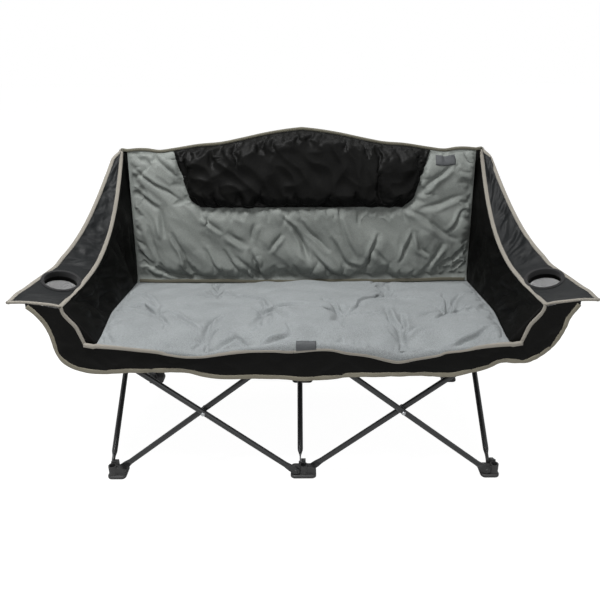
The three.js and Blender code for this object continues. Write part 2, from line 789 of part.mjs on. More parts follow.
const seatColumnCount = 28;
const seatColumns = even(seatColumnCount);
const shareOf = (from, to) => (value) => (value - from) / (to - from);
const evenFrom = (from, to, count) => even(count).map((share) => lerp(from, to, share));

const slingRunCount = 4;
const slingRun = evenFrom(seatFlareEndY, slingRearY, slingRunCount);
const slingRows = [slingFrontY, seatFlareStartY, slingFlatY, ...slingRun];
const slingMiddle = (u, v) => {
  const y = lerp(slingFrontY, slingRearY, v);
  const x = (2 * u - 1) * seatHalf(y);
  return new THREE.Vector3(x, y, slingZ(x, y));
};
const slingShares = slingRows.map(shareOf(slingFrontY, slingRearY));
place('seat_sling', sheet(seatColumns, slingShares, slingMiddle, slingThickness), 'cloth');

const padFloorZ = (x, y) => slingZ(x, y) + slingThickness / 2 + layGap;
const rounded = (share) => 1 - Math.abs(share) ** cornerPower;

function padDepth(x, y) {
  const across = x / seatHalf(y);
  const along = (2 * (y - padShoulderY)) / (padRearY - padShoulderY) - 1;
  const rear = 1 - smooth(padRearY - padEdgeRunY, padRearY, y);
  const body = padEdge + (padThickness - padEdge) * rounded(across) * rear;
  const crown = padCrown * (1 - across ** 2) * (1 - along ** 2);
  const drawn = tuftShares.map(([acrossShare, alongShare]) => {
    const [tuftX, tuftY] = [acrossShare * seatHalfWidth, alongShare * padRearY];
    const distance = Math.hypot(Math.abs(x) - tuftX, y - tuftY) / tuftRadius;
    return tuftDepth * Math.exp(-(distance ** 2));
  });
  return body + crown - drawn.reduce((sum, depth) => sum + depth, 0);
}

// Rows of the pad from the lip's lower edge to the rear edge, as [inner point, outer point] in Y and Z
const padRunCount = 8;
const padRunRows = evenFrom(seatFlareEndY, padRearY - padEdgeRunY, padRunCount);
const padSectionRows = [seatFlareStartY, slingFlatY, ...padRunRows];
const lipZ = (x) => slingFrontZ - lipDeepestDrop * through(lipDropShares, x / seatFrontHalfWidth);

function padRow(row, x) {
  const lip = lipZ(x);
  const floor = padFloorZ(x, padShoulderY);
  const depth = padDepth(x, padShoulderY);
  const outerY = lipInnerY - lipThickness;
  const lipRows = [
    [[lipInnerY, lip], [outerY + lipBend, lip]],
    [[lipInnerY, lerp(lip, floor, lipFoldInnerShare)], [outerY, lerp(lip, floor, lipFoldOuterShare)]],
    [[lipInnerY, floor - lipBend / 4], [outerY + lipBend, floor + depth * lipRollLowShare]],
    [[lipInnerY + lipBend, floor], [outerY + 2 * lipBend, floor + depth * lipRollHighShare]],
    [[padShoulderY, floor], [padShoulderY, floor + depth]],
  ];
  if (row < lipRows.length) return lipRows[row];
  const y = [...padSectionRows, padRearY][row - lipRows.length];
  return [[y, padFloorZ(x, y)], [y, padFloorZ(x, y) + padDepth(x, y)]];
}

const lipRowCount = 5;
const padRowCount = padSectionRows.length + lipRowCount;
const padSurface = (side) => (u, v) => {
  const row = Math.round(v * padRowCount);
  const [y] = padRow(row, 0)[side];
  const x = (2 * u - 1) * seatHalf(y);
  const [, z] = padRow(row, x)[side];
  return new THREE.Vector3(x, y, z);
};
place('seat_pad', between(seatColumns, even(padRowCount), padSurface(1), padSurface(0)), 'seatCloth');

// Back: a padded cover in front, a lining against the uprights, and a head panel on top

function backRearY(z) {
  const belowHeel = (z - backBottomZ) / (backHeelZ - backBottomZ);
  if (z < backHeelZ) return lerp(backBottomY, backHeelY, belowHeel);
  const aboveHeel = (z - backHeelZ) / (backShoulderZ - backHeelZ);
  return lerp(backHeelY, padRearFaceY, Math.min(aboveHeel, 1));
}

const backTopShare = (x) => through(backTopShares, Math.abs(x) / backHalfWidth);
const backTopZ = (x) => backShoulderZ + backPeakRise * backTopShare(x);

function backFrontY(x, z) {
  const across = x / backHalfWidth;
  const along = (2 * (z - backBottomZ)) / (backTopZ(x) - backBottomZ) - 1;
  const body = backEdge + (backThickness - backEdge) * rounded(across) * rounded(along);
  return backRearY(z) - body - backCrown * (1 - across ** 2) * (1 - along ** 2);
}

const backPoint = (depthAt) => (u, v) => {
  const x = (2 * u - 1) * backHalfWidth;
  const z = lerp(backBottomZ, backTopZ(x), v);
  return new THREE.Vector3(x, depthAt(x, z), z);
};
const backFace = backPoint(backFrontY);
const backRear = backPoint((x, z) => backRearY(z));
const backColumns = even(18);
const backRows = even(9);
place('back_pad', between(backColumns, backRows, backFace, backRear), 'backCloth');

const liningMiddle = (u, v) => {
  const x = (2 * u - 1) * backHalfWidth;
  const y = liningRearY - liningThickness / 2;
  return new THREE.Vector3(x, y, lerp(liningBottomZ, backTopZ(x) - liningDrop, v));
};
place('back_lining', sheet(backColumns, even(2), liningMiddle, liningThickness), 'cloth');

const headTopZ = (x) => backTopZ(x) - headTopDrop;
const headHalfWidthTop = backHalfWidth * headTopWidthShare;
const headHalfWidthBottom = backHalfWidth * headBottomWidthShare;
const headBottomZ = headTopZ(0) - headHeight;
const headPoint = (front) => (u, v) => {
  const side = 2 * u - 1;
  const turn = Math.max(0, 1 - (v * headHeight) / headCorner);
  const half = lerp(headHalfWidthBottom, headHalfWidthTop, v) - headCorner * (1 - Math.sqrt(1 - turn ** 2));
  const x = side * half;
  const z = lerp(headBottomZ, headTopZ(x), v);
  const depth = headEdge + (headThickness - headEdge) * rounded(side) * rounded(2 * v - 1);
  return new THREE.Vector3(x, backFrontY(x, z) - layGap - (front ? depth : 0), z);
};
const headRowShares = [0, 0.04, 0.1, 0.19, 0.35, 0.55, 0.75, 0.9, 1];
const headColumns = even(14);
place('head_panel', between(headColumns, headRowShares, headPoint(true), headPoint(false)), 'cloth');

// Side panels and arm rests, for the side that is +1 on the right and -1 on the left

function armInner(side, t) {
  const x = lerp(armInnerFrontX, armInnerRearX, t);
  const z = lerp(armInnerFrontZ, armInnerRearZ, t ** armInnerSagPower);
  return new THREE.Vector3(side * x, lerp(armFrontY, armInnerRearY, t), z);
}

function armOuter(side, t) {
  const x = lerp(armOuterFrontX, armOuterRearX, t) + armOuterBow * smooth(armBowStartShare, 1, t);
  const z = lerp(armOuterFrontZ, armOuterRearZ, t ** armOuterSagPower);
  return new THREE.Vector3(side * x, lerp(armFrontY, armOuterRearY, t), z);
}

const panelFlareEndShare = 0.28;
const panelRunCount = 7;
const panelRows = even(5);

function sidePanel(side) {
  const middle = (u, v) => {
    const y = lerp(panelFrontY, panelRearBottomY, u);
    const lowX = side * (seatHalf(y) + panelOffset);
    const low = new THREE.Vector3(lowX, y, slingZ(seatHalf(y), y) + panelLift);
    const top = armInner(side, u);
    const point = low.clone().lerp(top, v);
    const power = lerp(1, panelRearPower, smooth(panelDrawStartShare, 1, u));
    const bulge = panelBulge * Math.sin(Math.PI * u) * Math.sin(Math.PI * v);
    return point.setX(lerp(lowX, top.x, v ** power) + side * bulge);
  };
  const flare = [seatFlareStartY, slingFlatY, seatFlareEndY].map(shareOf(panelFrontY, panelRearBottomY));
  const rear = evenFrom(panelFlareEndShare, 1, panelRunCount);
  return sheet([0, ...flare, ...rear], panelRows, middle, panelThickness);
}

// The arm rest's band before and after it is made flat around the cup
const armBand = (side) => (u, v) => {
  const inner = armInner(side, u);
  inner.x += side * armSeam;
  return inner.lerp(armOuter(side, u), v);
};

function cupSeat(side) {
  const band = armBand(side);
  const centre = band(cupAlongShare, cupAcrossShare);
  const normal = normalOf(band, cupAlongShare, cupAcrossShare);
  if (normal.z < 0) normal.negate();
  return { centre, normal };
}

const armCupEndShare = 0.42;
const armCupCount = 9;
const armTopShares = [0.5, 0.58, 0.66, 0.74, 0.81, 0.87, 0.92, 0.96, 1];
const armRows = [...evenFrom(0, armCupEndShare, armCupCount), ...armTopShares];

function armRest(side) {
  const { centre, normal } = cupSeat(side);
  const band = armBand(side);
  const cupFlatRadius = cupRimRadius + cupFlatMargin;
  const middle = (u, v) => {
    const point = band(u, v);
    const offset = new THREE.Vector3().subVectors(point, centre);
    const flatness = 1 - smooth(cupFlatRadius, cupFlatRadius + cupBlend, offset.length());
    return point.addScaledVector(normal, -offset.dot(normal) * flatness);
  };
  const whole = toSolid(sheet(armRows, even(3), middle, armThickness));
  const reach = normal.clone().multiplyScalar(cupCollarDepth);
  const [low, high] = [centre.clone().sub(reach), centre.clone().add(reach)];
  const hole = rod(cupInnerRadius + cupCollarWall + socketClearance, low, high, cupSides);
  return toGeometry(cut(whole, [hole]));
}

// The cup's ring: a flange on the arm rest and a collar through it
function cupRim(side) {
  const { centre, normal } = cupSeat(side);
  const outer = cupInnerRadius + cupCollarWall;
  const low = armThickness / 2 + socketClearance;
  const high = low + cupRimThickness;
  const profile = [
    [cupInnerRadius, -cupCollarDepth],
    [outer, -cupCollarDepth],
    [outer, low],
    [cupRimRadius, low],
    [cupRimRadius, lerp(low, high, rimEdgeShare)],
    [lerp(outer, cupRimRadius, rimCrownShare), high],
    [outer, high],
    [cupInnerRadius, (low + high) / 2],
    [cupInnerRadius, -cupCollarDepth],
  ];
  return toGeometry(turned(profile, centre, normal, cupSides));
}

// The cup's cloth: a bag around the collar, with a flat floor
function cupPouch(side) {
  const { centre, normal } = cupSeat(side);
  const inner = cupInnerRadius + cupCollarWall + socketClearance;
  const mouth = -armThickness / 2 - socketClearance;
  const floorRadius = inner - cupTaper;
  const profile = [
    [0, -cupDepth],
    [floorRadius, -cupDepth],
    [inner + cupClothWall, mouth],
    [inner, mouth],
    [floorRadius - cupClothWall, -cupDepth + cupClothWall],
    [0, -cupDepth + cupClothWall],
  ];
  return toGeometry(turned(profile, centre, normal, cupSides));
}

for (const [name, side] of [['left', -1], ['right', 1]]) {
  place(`${name}_side_panel`, sidePanel(side), 'cloth');
  place(`${name}_arm_rest`, armRest(side), 'cloth');
  place(`${name}_cup_rim`, cupRim(side), 'rim');
  place(`${name}_cup_pouch`, cupPouch(side), 'cloth');
}

// Front valance: hangs behind the seat's lip and in front of the crosses, out to the arms' ends

const armRiseShare = shareOf(armInnerFrontX, armOuterFrontX);

function valanceTopZ(x) {
  const reach = Math.abs(x);
  if (reach <= seatFrontHalfWidth) return slingZ(x, slingFrontY) - valanceDrop;
  const seatEnd = slingZ(seatFrontHalfWidth, slingFrontY) - valanceDrop;
  const armUnderside = armInnerFrontZ - armThickness / 2 - layGap;
  if (reach <= armInnerFrontX) {
    return lerp(seatEnd, armUnderside, shareOf(seatFrontHalfWidth, armInnerFrontX)(reach));
  }
  return armUnderside + (armOuterFrontZ - armInnerFrontZ) * armRiseShare(reach);
}

const valanceMiddle = (u, v) => {
  const x = lerp(-valanceTipX, valanceTipX, u);
  const hem = slingFrontZ - hemDeepestDrop * through(hemDropShares, 2 * u - 1);
  const top = valanceTopZ(x);
  const flat = lerp(valanceY, valanceWingY, smooth(seatFrontHalfWidth, valanceWingX, Math.abs(x)));
  const lip = Math.abs(x) < seatFrontHalfWidth ? lipZ(x) : top;
  const cover = Math.min(lip, top) - valanceCoverGap;
  const free = Math.min(v / valanceCoverShare, 1);
  const hidden = Math.max((v - valanceCoverShare) / (1 - valanceCoverShare), 0);
  const z = v < valanceCoverShare ? lerp(hem, cover, free) : lerp(cover, top, hidden);
  const loose = (1 - free ** 2) * smooth(0, valanceFoldRise, cover - hem);
  const fold = (valanceFold * (1 - Math.cos(2 * Math.PI * valanceFoldCount * u))) / 2;
  return new THREE.Vector3(x, flat - fold * loose, z);
};
const wingShares = [0, 0.008, 0.018, 0.028, 0.036, 0.046, 0.062, 0.085, 0.1, 0.117];
const wingEndShare = 0.15;
const valanceRunCount = 20;
const valanceRun = evenFrom(wingEndShare, 1 - wingEndShare, valanceRunCount);
const valanceColumns = [...wingShares, ...valanceRun, ...wingShares.map((share) => 1 - share).reverse()];
const valanceRows = [0, valanceFreeShare, valanceCoverShare, 1];
place('front_valance', sheet(valanceColumns, valanceRows, valanceMiddle, valanceThickness), 'cloth');

// A cloth sleeve over an upright's cap, open at the bottom and towards the lining
function pocket(x, top) {
  const roofZ = top + capCrown + socketClearance;
  const nearY = liningRearY + layGap;
  const outline = (half, depth, corner) => {
    const shape = new THREE.Shape();
    shape.moveTo(-half, 0);
    shape.lineTo(half, 0);
    shape.lineTo(half, depth - corner);
    shape.absarc(half - corner, depth - corner, corner, 0, Math.PI / 2, false);
    shape.absarc(corner - half, depth - corner, corner, Math.PI / 2, Math.PI, false);
    return shape;
  };
  const block = (shape, y, z, depth) => {
    const geometry = new THREE.ExtrudeGeometry(shape, { depth, bevelEnabled: false, curveSegments });
    geometry.translate(x, y, z);
    return toSolid(geometry);
  };
  const outside = outline(pocketHalfWidth, pocketDepth, pocketCorner);
  const insideHalf = pocketHalfWidth - pocketWall;
  const inside = outline(insideHalf, pocketDepth - pocketWall + overrun, pocketCorner - pocketWall);
  const mouthZ = roofZ - pocketHeight;
  const shell = block(outside, nearY, mouthZ, pocketHeight + pocketRoof);
  return toGeometry(cut(shell, [block(inside, nearY - overrun, mouthZ - overrun, pocketHeight + overrun)]));
}

for (const { name, x } of stations) {
  const top = name === 'centre' ? centreUprightTop : sideUprightTop;
  place(`${name}_back_pocket`, pocket(x, top), 'cloth');
}

export default loveseat;
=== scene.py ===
# %% [markdown]
# # A folding camping loveseat
# The frame of tubes, feet and hubs comes packed from the CAD model, in metres, with +Z up and +Y to the rear.
# This script keeps that frame, gives it its finishes, and dresses it: the padded seat and back, the head panel,
# the arm rests with their cup holders, the side panels and the cloth that hangs in front.

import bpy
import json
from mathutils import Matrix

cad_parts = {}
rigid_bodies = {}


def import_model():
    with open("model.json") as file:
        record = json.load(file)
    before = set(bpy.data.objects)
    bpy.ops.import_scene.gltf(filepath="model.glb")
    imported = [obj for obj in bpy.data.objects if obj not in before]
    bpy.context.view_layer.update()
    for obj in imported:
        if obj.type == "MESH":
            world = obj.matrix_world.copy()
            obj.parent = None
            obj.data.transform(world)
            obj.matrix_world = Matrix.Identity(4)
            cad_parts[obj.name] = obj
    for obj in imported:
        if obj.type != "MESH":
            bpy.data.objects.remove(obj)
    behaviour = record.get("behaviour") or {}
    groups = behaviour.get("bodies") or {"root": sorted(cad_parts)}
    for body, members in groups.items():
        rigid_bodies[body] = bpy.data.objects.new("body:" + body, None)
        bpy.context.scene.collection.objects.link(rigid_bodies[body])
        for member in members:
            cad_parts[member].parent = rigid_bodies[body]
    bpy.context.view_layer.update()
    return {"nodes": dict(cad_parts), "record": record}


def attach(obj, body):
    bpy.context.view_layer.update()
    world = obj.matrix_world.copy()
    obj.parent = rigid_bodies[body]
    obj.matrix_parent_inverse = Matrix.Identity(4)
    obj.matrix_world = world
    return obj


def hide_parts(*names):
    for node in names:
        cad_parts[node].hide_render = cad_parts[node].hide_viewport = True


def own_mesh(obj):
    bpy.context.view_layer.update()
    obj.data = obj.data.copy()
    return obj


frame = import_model()

import json
import math
import bmesh
import bpy
import numpy as np
from mathutils import Matrix, Vector, noise

MM = 0.001

# %% [markdown]
# ## Camera and lamps
# The chair is shown on white in soft studio light. The camera stands a little above the arm rests and looks down at
# the seat, about one and a half metres in front of it. The floor and the white around it come last.

# %% Camera and lamps
CAMERA_PLACE, LENS, LOOK_DOWN, ROLL = (-0.0076, -1.460, 1.178), 37.26, 23.1, -0.28
LAMPS = [("key_lamp", (-0.9, -0.6, 3.1), (0, 0.2, 0.4), 1.0, 105),
         ("fill_lamp", (1.2, -2.6, 1.8), (0, 0.2, 0.4), 2.2, 24),
         ("rear_lamp", (0.5, 0.9, 3.3), (0, 0.3, 0.4), 1.4, 30)]
scene = bpy.context.scene
scene.view_settings.view_transform = "Standard"


def staged(name, data):
    made = bpy.data.objects.new(name, data)
    scene.collection.objects.link(made)
    return made


camera = staged("camera", bpy.data.cameras.new("camera"))
camera.data.sensor_width = 36.0
camera.data.lens = LENS
tilt = Matrix.Rotation(math.radians(90 - LOOK_DOWN), 4, "X") @ Matrix.Rotation(math.radians(ROLL), 4, "Z")
camera.matrix_world = Matrix.Translation(CAMERA_PLACE) @ tilt
scene.camera = camera

for name, place, target, size, watts in LAMPS:
    lamp = staged(name, bpy.data.lights.new(name, "AREA"))
    lamp.data.shape = "DISK"
    lamp.data.size = size
    lamp.data.energy = watts
    lamp.location = place
    lamp.rotation_euler = (Vector(target) - Vector(place)).to_track_quat("-Z", "Y").to_euler()
print("lamps:", len(LAMPS))

# %% [markdown]
# ## Shader maths
# A finish is built from nodes. Written out, each node is three lines, so one small class wraps a socket and lets an
# expression such as `0.3 + 0.1 * grain` add its Math nodes. Every other node comes from `Tree.node`. Image textures
# would be less work, but nodes stay sharp at any distance and need no UV map except on the tapes.

# %% Sockets as numbers
class Flow:
    """A node's output, which sums and products turn into new nodes."""

    def __init__(self, finish, socket):
        self.finish = finish
        self.socket = socket

    def maths(self, operation, other):
        return self.finish.node("ShaderNodeMath", {"operation": operation}, {0: self, 1: other})

    def __add__(self, other):
        return self.maths("ADD", other)

    def __sub__(self, other):
        return self.maths("SUBTRACT", other)

    def __mul__(self, other):
        return self.maths("MULTIPLY", other)

    __radd__ = __add__
    __rmul__ = __mul__


class Tree:
    """The nodes of a material or of the world."""

    def __init__(self, owner):
        owner.use_nodes = True
        self.nodes = owner.node_tree.nodes
        self.links = owner.node_tree.links

    def first(self, kind):
        return next(n for n in self.nodes if n.type == kind)

    def node(self, kind, settings=None, values=None, output=0):
        made = self.nodes.new(kind)
        for key, value in (settings or {}).items():
            setattr(made, key, value)
        for key, value in (values or {}).items():
            if isinstance(value, Flow):
                self.links.new(value.socket, made.inputs[key])
            else:
                made.inputs[key].default_value = value
        return Flow(self, made.outputs[output])

    def blend(self, share, first, second, end):
        """Sends a mix of two shaders to the tree's output."""
        mixed = self.node("ShaderNodeMixShader", values={"Fac": share, 1: first, 2: second})
        self.links.new(mixed.socket, self.first(end).inputs[0])


class Finish(Tree):
    """A material with its surface shader."""

    def __init__(self, name, **constants):
        self.material = bpy.data.materials.new(name)
        super().__init__(self.material)
        self.surface = self.first("BSDF_PRINCIPLED")
        for socket, value in constants.items():
            self.surface.inputs[socket.replace("_", " ").title().replace("Ior", "IOR")].default_value = value

    def place(self, source="Object", stretch=(1, 1, 1), turn=(0, 0, 0)):
        values = {"Vector": self.node("ShaderNodeTexCoord", output=source), "Scale": stretch, "Rotation": turn}
        return self.node("ShaderNodeMapping", values=values)

    def grain(self, where, scale, detail=3.0, roughness=0.5):
        values = {"Vector": where, "Scale": scale, "Detail": detail, "Roughness": roughness}
        return self.node("ShaderNodeTexNoise", values=values)

    def ribs(self, where, scale):
        return self.node("ShaderNodeTexWave", {"wave_profile": "SIN"}, {"Vector": where, "Scale": scale}, output=1)

    def feed(self, socket, value):
        self.links.new(value.socket, self.surface.inputs[socket])

    def tint(self, share, dark, light):
        """Feeds the base colour with a mix of two shades."""
        values = {"Factor": share, 6: shade(*dark), 7: shade(*light)}
        self.feed("Base Color", self.node("ShaderNodeMix", {"data_type": "RGBA"}, values, output=2))

    def bump(self, height, depth, strength):
        values = {"Height": height, "Distance": depth, "Strength": strength}
        self.feed("Normal", self.node("ShaderNodeBump", values=values))


def shade(red, green, blue):
    """A colour as a camera shows it, from 0 to 255, as the linear values that a shader takes."""
    channels = [c / 255 for c in (red, green, blue)]
    return tuple(c / 12.92 if c <= 0.04045 else ((c + 0.055) / 1.055) ** 2.4 for c in channels) + (1,)


print("a middle grey is", round(shade(128, 128, 128)[0], 3), "to a shader")

# %% [markdown]
# ## Finishes
# Tubes are powder coated: a satin dark grey with a fine orange peel. The mouldings are black plastic with a spark
# grain. All cloth is woven polyester: black with a slight sheen, and for the pads a melange of light and dark yarns.
# The tapes along the edges are ribbed, so their pattern follows the tape's own length.

# %% Frame finishes
def hard(name, dark, light, blotch, rough, speckle, relief, **constants):
    """Broad blotches shift the colour and the gloss, and a fine speckle gives the relief."""
    finish = Finish(name, **constants)
    where = finish.place()
    blotches = finish.grain(where, *blotch)
    finish.tint(blotches, dark, light)
    finish.feed("Roughness", rough[0] + rough[1] * blotches)
    finish.bump(finish.grain(where, *speckle), *relief)
    return finish


coat = hard("powder_coat", (34, 35, 36), (46, 47, 48), (9.0, 3.0), (0.3, 0.14), (1400.0, 2.0), (0.00008, 0.5),
            metallic=0.45, specular_ior_level=0.5)
moulded = hard("black_moulding", (20, 20, 20), (33, 33, 34), (35.0, 4.0, 0.6), (0.42, 0.2), (2200.0, 2.0),
               (0.00012, 0.6), specular_ior_level=0.45)
plated = hard("plated_rivet", (120, 122, 124), (168, 170, 172), (300.0, 3.0), (0.28, 0.2), (300.0, 3.0),
              (0.00005, 0.4), metallic=1.0)
print("hard finishes:", [finish.material.name for finish in (coat, moulded, plated)])


# %% Cloth finishes
def woven(name, dark, light, yarn, sheen, rough, gloss=0.25, streak=(1, 1, 1), contrast=1.0):
    """Two sets of threads cross at right angles, in yarns whose tone varies along a streak."""
    finish = Finish(name, sheen_weight=sheen, sheen_roughness=0.45, specular_ior_level=gloss)
    warp, weft = (finish.ribs(finish.place(turn=(0.6, 0.3, turn)), yarn) for turn in (0.78, -0.78))
    threads = finish.grain(finish.place(stretch=streak), 420.0, 4.0, 0.65)
    patches = finish.grain(finish.place(), 14.0)
    finish.tint((threads - 0.5) * (1.7 * contrast) + (patches - 0.5) * 0.35 + 0.5, dark, light)
    finish.feed("Roughness", rough + 0.12 * (patches - 0.5))
    finish.bump(warp * 0.5 + weft * 0.5 + threads * 0.6, 0.00018, 0.55)
    return finish


black_cloth = woven("black_cloth", (2, 2, 2), (13, 13, 12), 480.0, 0.0, 0.42, gloss=0.07)
arm_cloth = woven("arm_cloth", (7, 8, 9), (25, 27, 28), 480.0, 0.01, 0.42, gloss=0.11)
seat_cloth = woven("seat_melange", (91, 95, 96), (145, 149, 150), 420.0, 0.04, 0.9, streak=(1, 2.6, 1), contrast=1.4)
back_cloth = woven("back_melange", (84, 88, 85), (134, 138, 134), 420.0, 0.08, 0.62, streak=(2.6, 1, 1), contrast=1.2)
lining_cloth = woven("lining_cloth", (8, 9, 9), (24, 25, 25), 480.0, 0.02, 0.75, gloss=0.1)


def ribbed(name, dark, light):
    finish = Finish(name, sheen_weight=0.1, specular_ior_level=0.25)
    ribs = finish.ribs(finish.place("UV"), 120.0)
    fuzz = finish.grain(finish.place(), 900.0)
    patches = finish.grain(finish.place(), 22.0, 2.0)
    finish.tint(ribs * 0.45 + fuzz * 0.35 + patches * 0.2, dark, light)
    finish.feed("Roughness", 0.82 + 0.12 * fuzz)
    finish.bump(ribs + fuzz * 0.5, 0.00025, 0.6)
    return finish


taupe_tape = ribbed("taupe_tape", (98, 95, 88), (150, 145, 136))
hem_finish = ribbed("hem_tape", (88, 85, 74), (128, 123, 109))
olive_tape = ribbed("olive_tape", (62, 60, 50), (104, 101, 88))
grey_tape = ribbed("grey_tape", (50, 50, 49), (88, 87, 83))
ring_cloth = ribbed("cup_ring_cloth", (18, 18, 19), (40, 40, 41))

net = Finish("cup_net", sheen_weight=0.1, base_color=shade(40, 41, 46))
warp, weft = (net.ribs(net.place(turn=(0, 0, turn)), 380.0).maths("GREATER_THAN", 0.45) for turn in (0.79, -0.79))
net.feed("Roughness", 0.7 + 0.1 * net.grain(net.place(), 600.0))
net.feed("Alpha", (warp + weft).maths("MINIMUM", 1.0))
net.bump(warp + weft, 0.0002, 0.5)

patch = Finish("plain_patch", specular_ior_level=0.3)
rows = patch.ribs(patch.place(turn=(0, 0.8, 0.8)), 1500.0)
patch.tint(rows, (52, 54, 56), (74, 76, 78))
patch.feed("Roughness", 0.6 + 0.1 * rows)
patch.bump(rows, 0.0001, 0.4)
print("materials so far, with those of the CAD model:", len(bpy.data.materials))

# %% [markdown]
# ## Turned and pressed metal
# A tube is a ring of points that is drawn along its axis: add a circle, then extrude and resize it ring by ring.
# The same steps make caps and rivets. Each shape is modelled once, along +Z at the origin, and copied to its places.
# A curve with a round bevel would be shorter to write, but its ends could not be pressed flat.

# %% Turning a profile
def only(piece):
    """Selects one piece alone and makes it the active one."""
    bpy.ops.object.select_all(action="DESELECT")
    bpy.context.view_layer.objects.active = piece
    piece.select_set(True)


def fresh(kind, **sizes):
    bpy.ops.object.select_all(action="DESELECT")
    getattr(bpy.ops.mesh, "primitive_" + kind + "_add")(**sizes)
    return bpy.context.object


def turned(name, profile, sides=24):
    """A surface of revolution about Z through [radius, height] pairs in millimetres, closed where a radius is 0."""
    first, *rest = [(max(radius, 0.01) * MM, height * MM) for radius, height in profile]
    piece = fresh("circle", vertices=sides, radius=first[0], location=(0, 0, first[1]))
    bpy.ops.object.transform_apply(location=True)
    piece.name = name
    bpy.ops.object.mode_set(mode="EDIT")
    radius, height = first
    for wide, high in rest:
        bpy.ops.mesh.extrude_region_move(TRANSFORM_OT_translate={"value": (0, 0, high - height)})
        bpy.ops.transform.resize(value=(wide / radius, wide / radius, 1), center_override=(0, 0, high))
        radius, height = wide, high
    bpy.ops.mesh.select_all(action="SELECT")
    bpy.ops.mesh.remove_doubles(threshold=0.00003)
    bpy.ops.mesh.normals_make_consistent(inside=False)
    bpy.ops.object.mode_set(mode="OBJECT")
    return piece


def pick(piece, test):
    """Selects the vertices of a piece in edit mode by their place in millimetres."""
    bpy.ops.object.mode_set(mode="OBJECT")
    mesh = piece.data
    points = np.empty(len(mesh.vertices) * 3)
    mesh.vertices.foreach_get("co", points)
    chosen = test(points.reshape(-1, 3) / MM)
    for parts in (mesh.polygons, mesh.edges):
        parts.foreach_set("select", np.zeros(len(parts), bool))
    mesh.vertices.foreach_set("select", chosen)
    bpy.ops.object.mode_set(mode="EDIT")
    return int(chosen.sum())


def use_modifier(piece, kind, **settings):
    only(piece)
    modifier = piece.modifiers.new(kind.lower(), kind)
    for key, value in settings.items():
        setattr(modifier, key, value)
    bpy.ops.object.modifier_apply(modifier=modifier.name)


def smooth_shade(piece, angle):
    only(piece)
    bpy.ops.object.shade_smooth_by_angle(angle=math.radians(angle))


def aim(start, direction, across=(0, 0, 1)):
    """The matrix that lays +Z along a direction and +Y as near as may be along another."""
    third = Vector(direction).normalized()
    first = Vector(across).cross(third).normalized()
    second = third.cross(first)
    matrix = Matrix((first, second, third)).transposed().to_4x4()
    matrix.translation = Vector(start) * MM
    return matrix


# %% Copies, bodies and nodes
BODY_OF = {node: body for body, nodes in frame["record"]["behaviour"]["bodies"].items() for node in nodes}


def copied(model, name, matrix):
    """A copy of a modelled piece, with its own mesh, its place in its mesh."""
    piece = staged(name, model.data.copy())
    piece.data.transform(matrix)
    return piece


def finished(piece, finish, body, slot, *nodes):
    """Gives a piece its finish and its body, and hides the CAD nodes that it stands for."""
    piece.data.materials.clear()
    piece.data.materials.append(finish.material)
    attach(piece, body)
    if nodes:
        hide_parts(*nodes)
    return piece


def laid(node, suffix, model, matrix, finish, slot):
    """A copy of a model that takes the place of one CAD node."""
    finished(copied(model, node + suffix, matrix), finish, BODY_OF[node], slot, node)


print("nodes with a body:", len(BODY_OF))

# %% [markdown]
# ## The tubes
# All twelve cross tubes are alike: 16 mm round steel, pressed flat at both ends and drilled through at the ends and
# in the middle for its rivets. The two front tubes that carry the arm rests run on past their upper pin, still round.

# %% One tube of a cross
RUN, RISE, LOW = 506.0, 400.0, 24.0
LENGTH = math.hypot(RUN, RISE)
LAYER, INSET, DEPTH = 9.0, 30.0, 566.0
ARM_REACH = 194.0
TUBE, EYE, PRESSED = 8.0, 11.0, 2.0
SAME_RING = 0.05


def end_rings(pin, way):
    """The rings of a pressed end from its tip on, as [place, half width, half thickness]."""
    angles = [math.radians(turn) for turn in (8, 30, 60, 90)]
    rings = [(pin - way * EYE * math.cos(angle), EYE * math.sin(angle), PRESSED) for angle in angles]
    for share in np.linspace(0, 1, 7):
        ease = share * share * (3 - 2 * share)
        wide, thick = EYE + (TUBE - EYE) * ease, PRESSED + (TUBE - PRESSED) * ease ** 1.4
        rings.append((pin + way * (16 + 24 * share), wide, thick))
    return rings


def flatten(piece, along, half_width, half_thickness):
    """Widens one ring of the tube and presses its points in between two planes."""
    near = lambda p: np.abs(p[:, 2] - along) < SAME_RING
    pick(piece, near)
    bpy.ops.transform.resize(value=(half_width / TUBE, 1, 1), center_override=(0, 0, along * MM))
    for side in (-1, 1):
        if pick(piece, lambda p: near(p) & (p[:, 1] * side > half_thickness)):
            bpy.ops.transform.resize(value=(1, 0, 1), center_override=(0, side * half_thickness * MM, 0))
    bpy.ops.object.mode_set(mode="OBJECT")


def tube_model(name, reach=0.0):
    """A drilled tube along +Z from its lower pin. With a reach it runs on past its upper pin, round."""
    rings = end_rings(0.0, 1) + ([] if reach else end_rings(LENGTH, -1)[::-1])
    places = [ring[0] for ring in rings] + ([LENGTH + reach] if reach else [])
    piece = turned(name, [(TUBE, place) for place in places])
    for ring in rings:
        flatten(piece, *ring)
    for end in (places[0], places[-1]):
        pick(piece, lambda p: np.abs(p[:, 2] - end) < SAME_RING)
        bpy.ops.mesh.edge_face_add()
    bpy.ops.mesh.select_all(action="SELECT")
    bpy.ops.mesh.normals_make_consistent(inside=False)
    bpy.ops.object.mode_set(mode="OBJECT")
    for along in (0.0, LENGTH / 2, LENGTH):
        drill_bit = fresh("cylinder", vertices=20, radius=3.3 * MM, depth=0.05, location=(0, 0, along * MM),
                          rotation=(math.pi / 2, 0, 0))
        use_modifier(piece, "BOOLEAN", operation="DIFFERENCE", object=drill_bit, solver="EXACT")
        bpy.data.objects.remove(drill_bit)
    smooth_shade(piece, 40)
    return piece


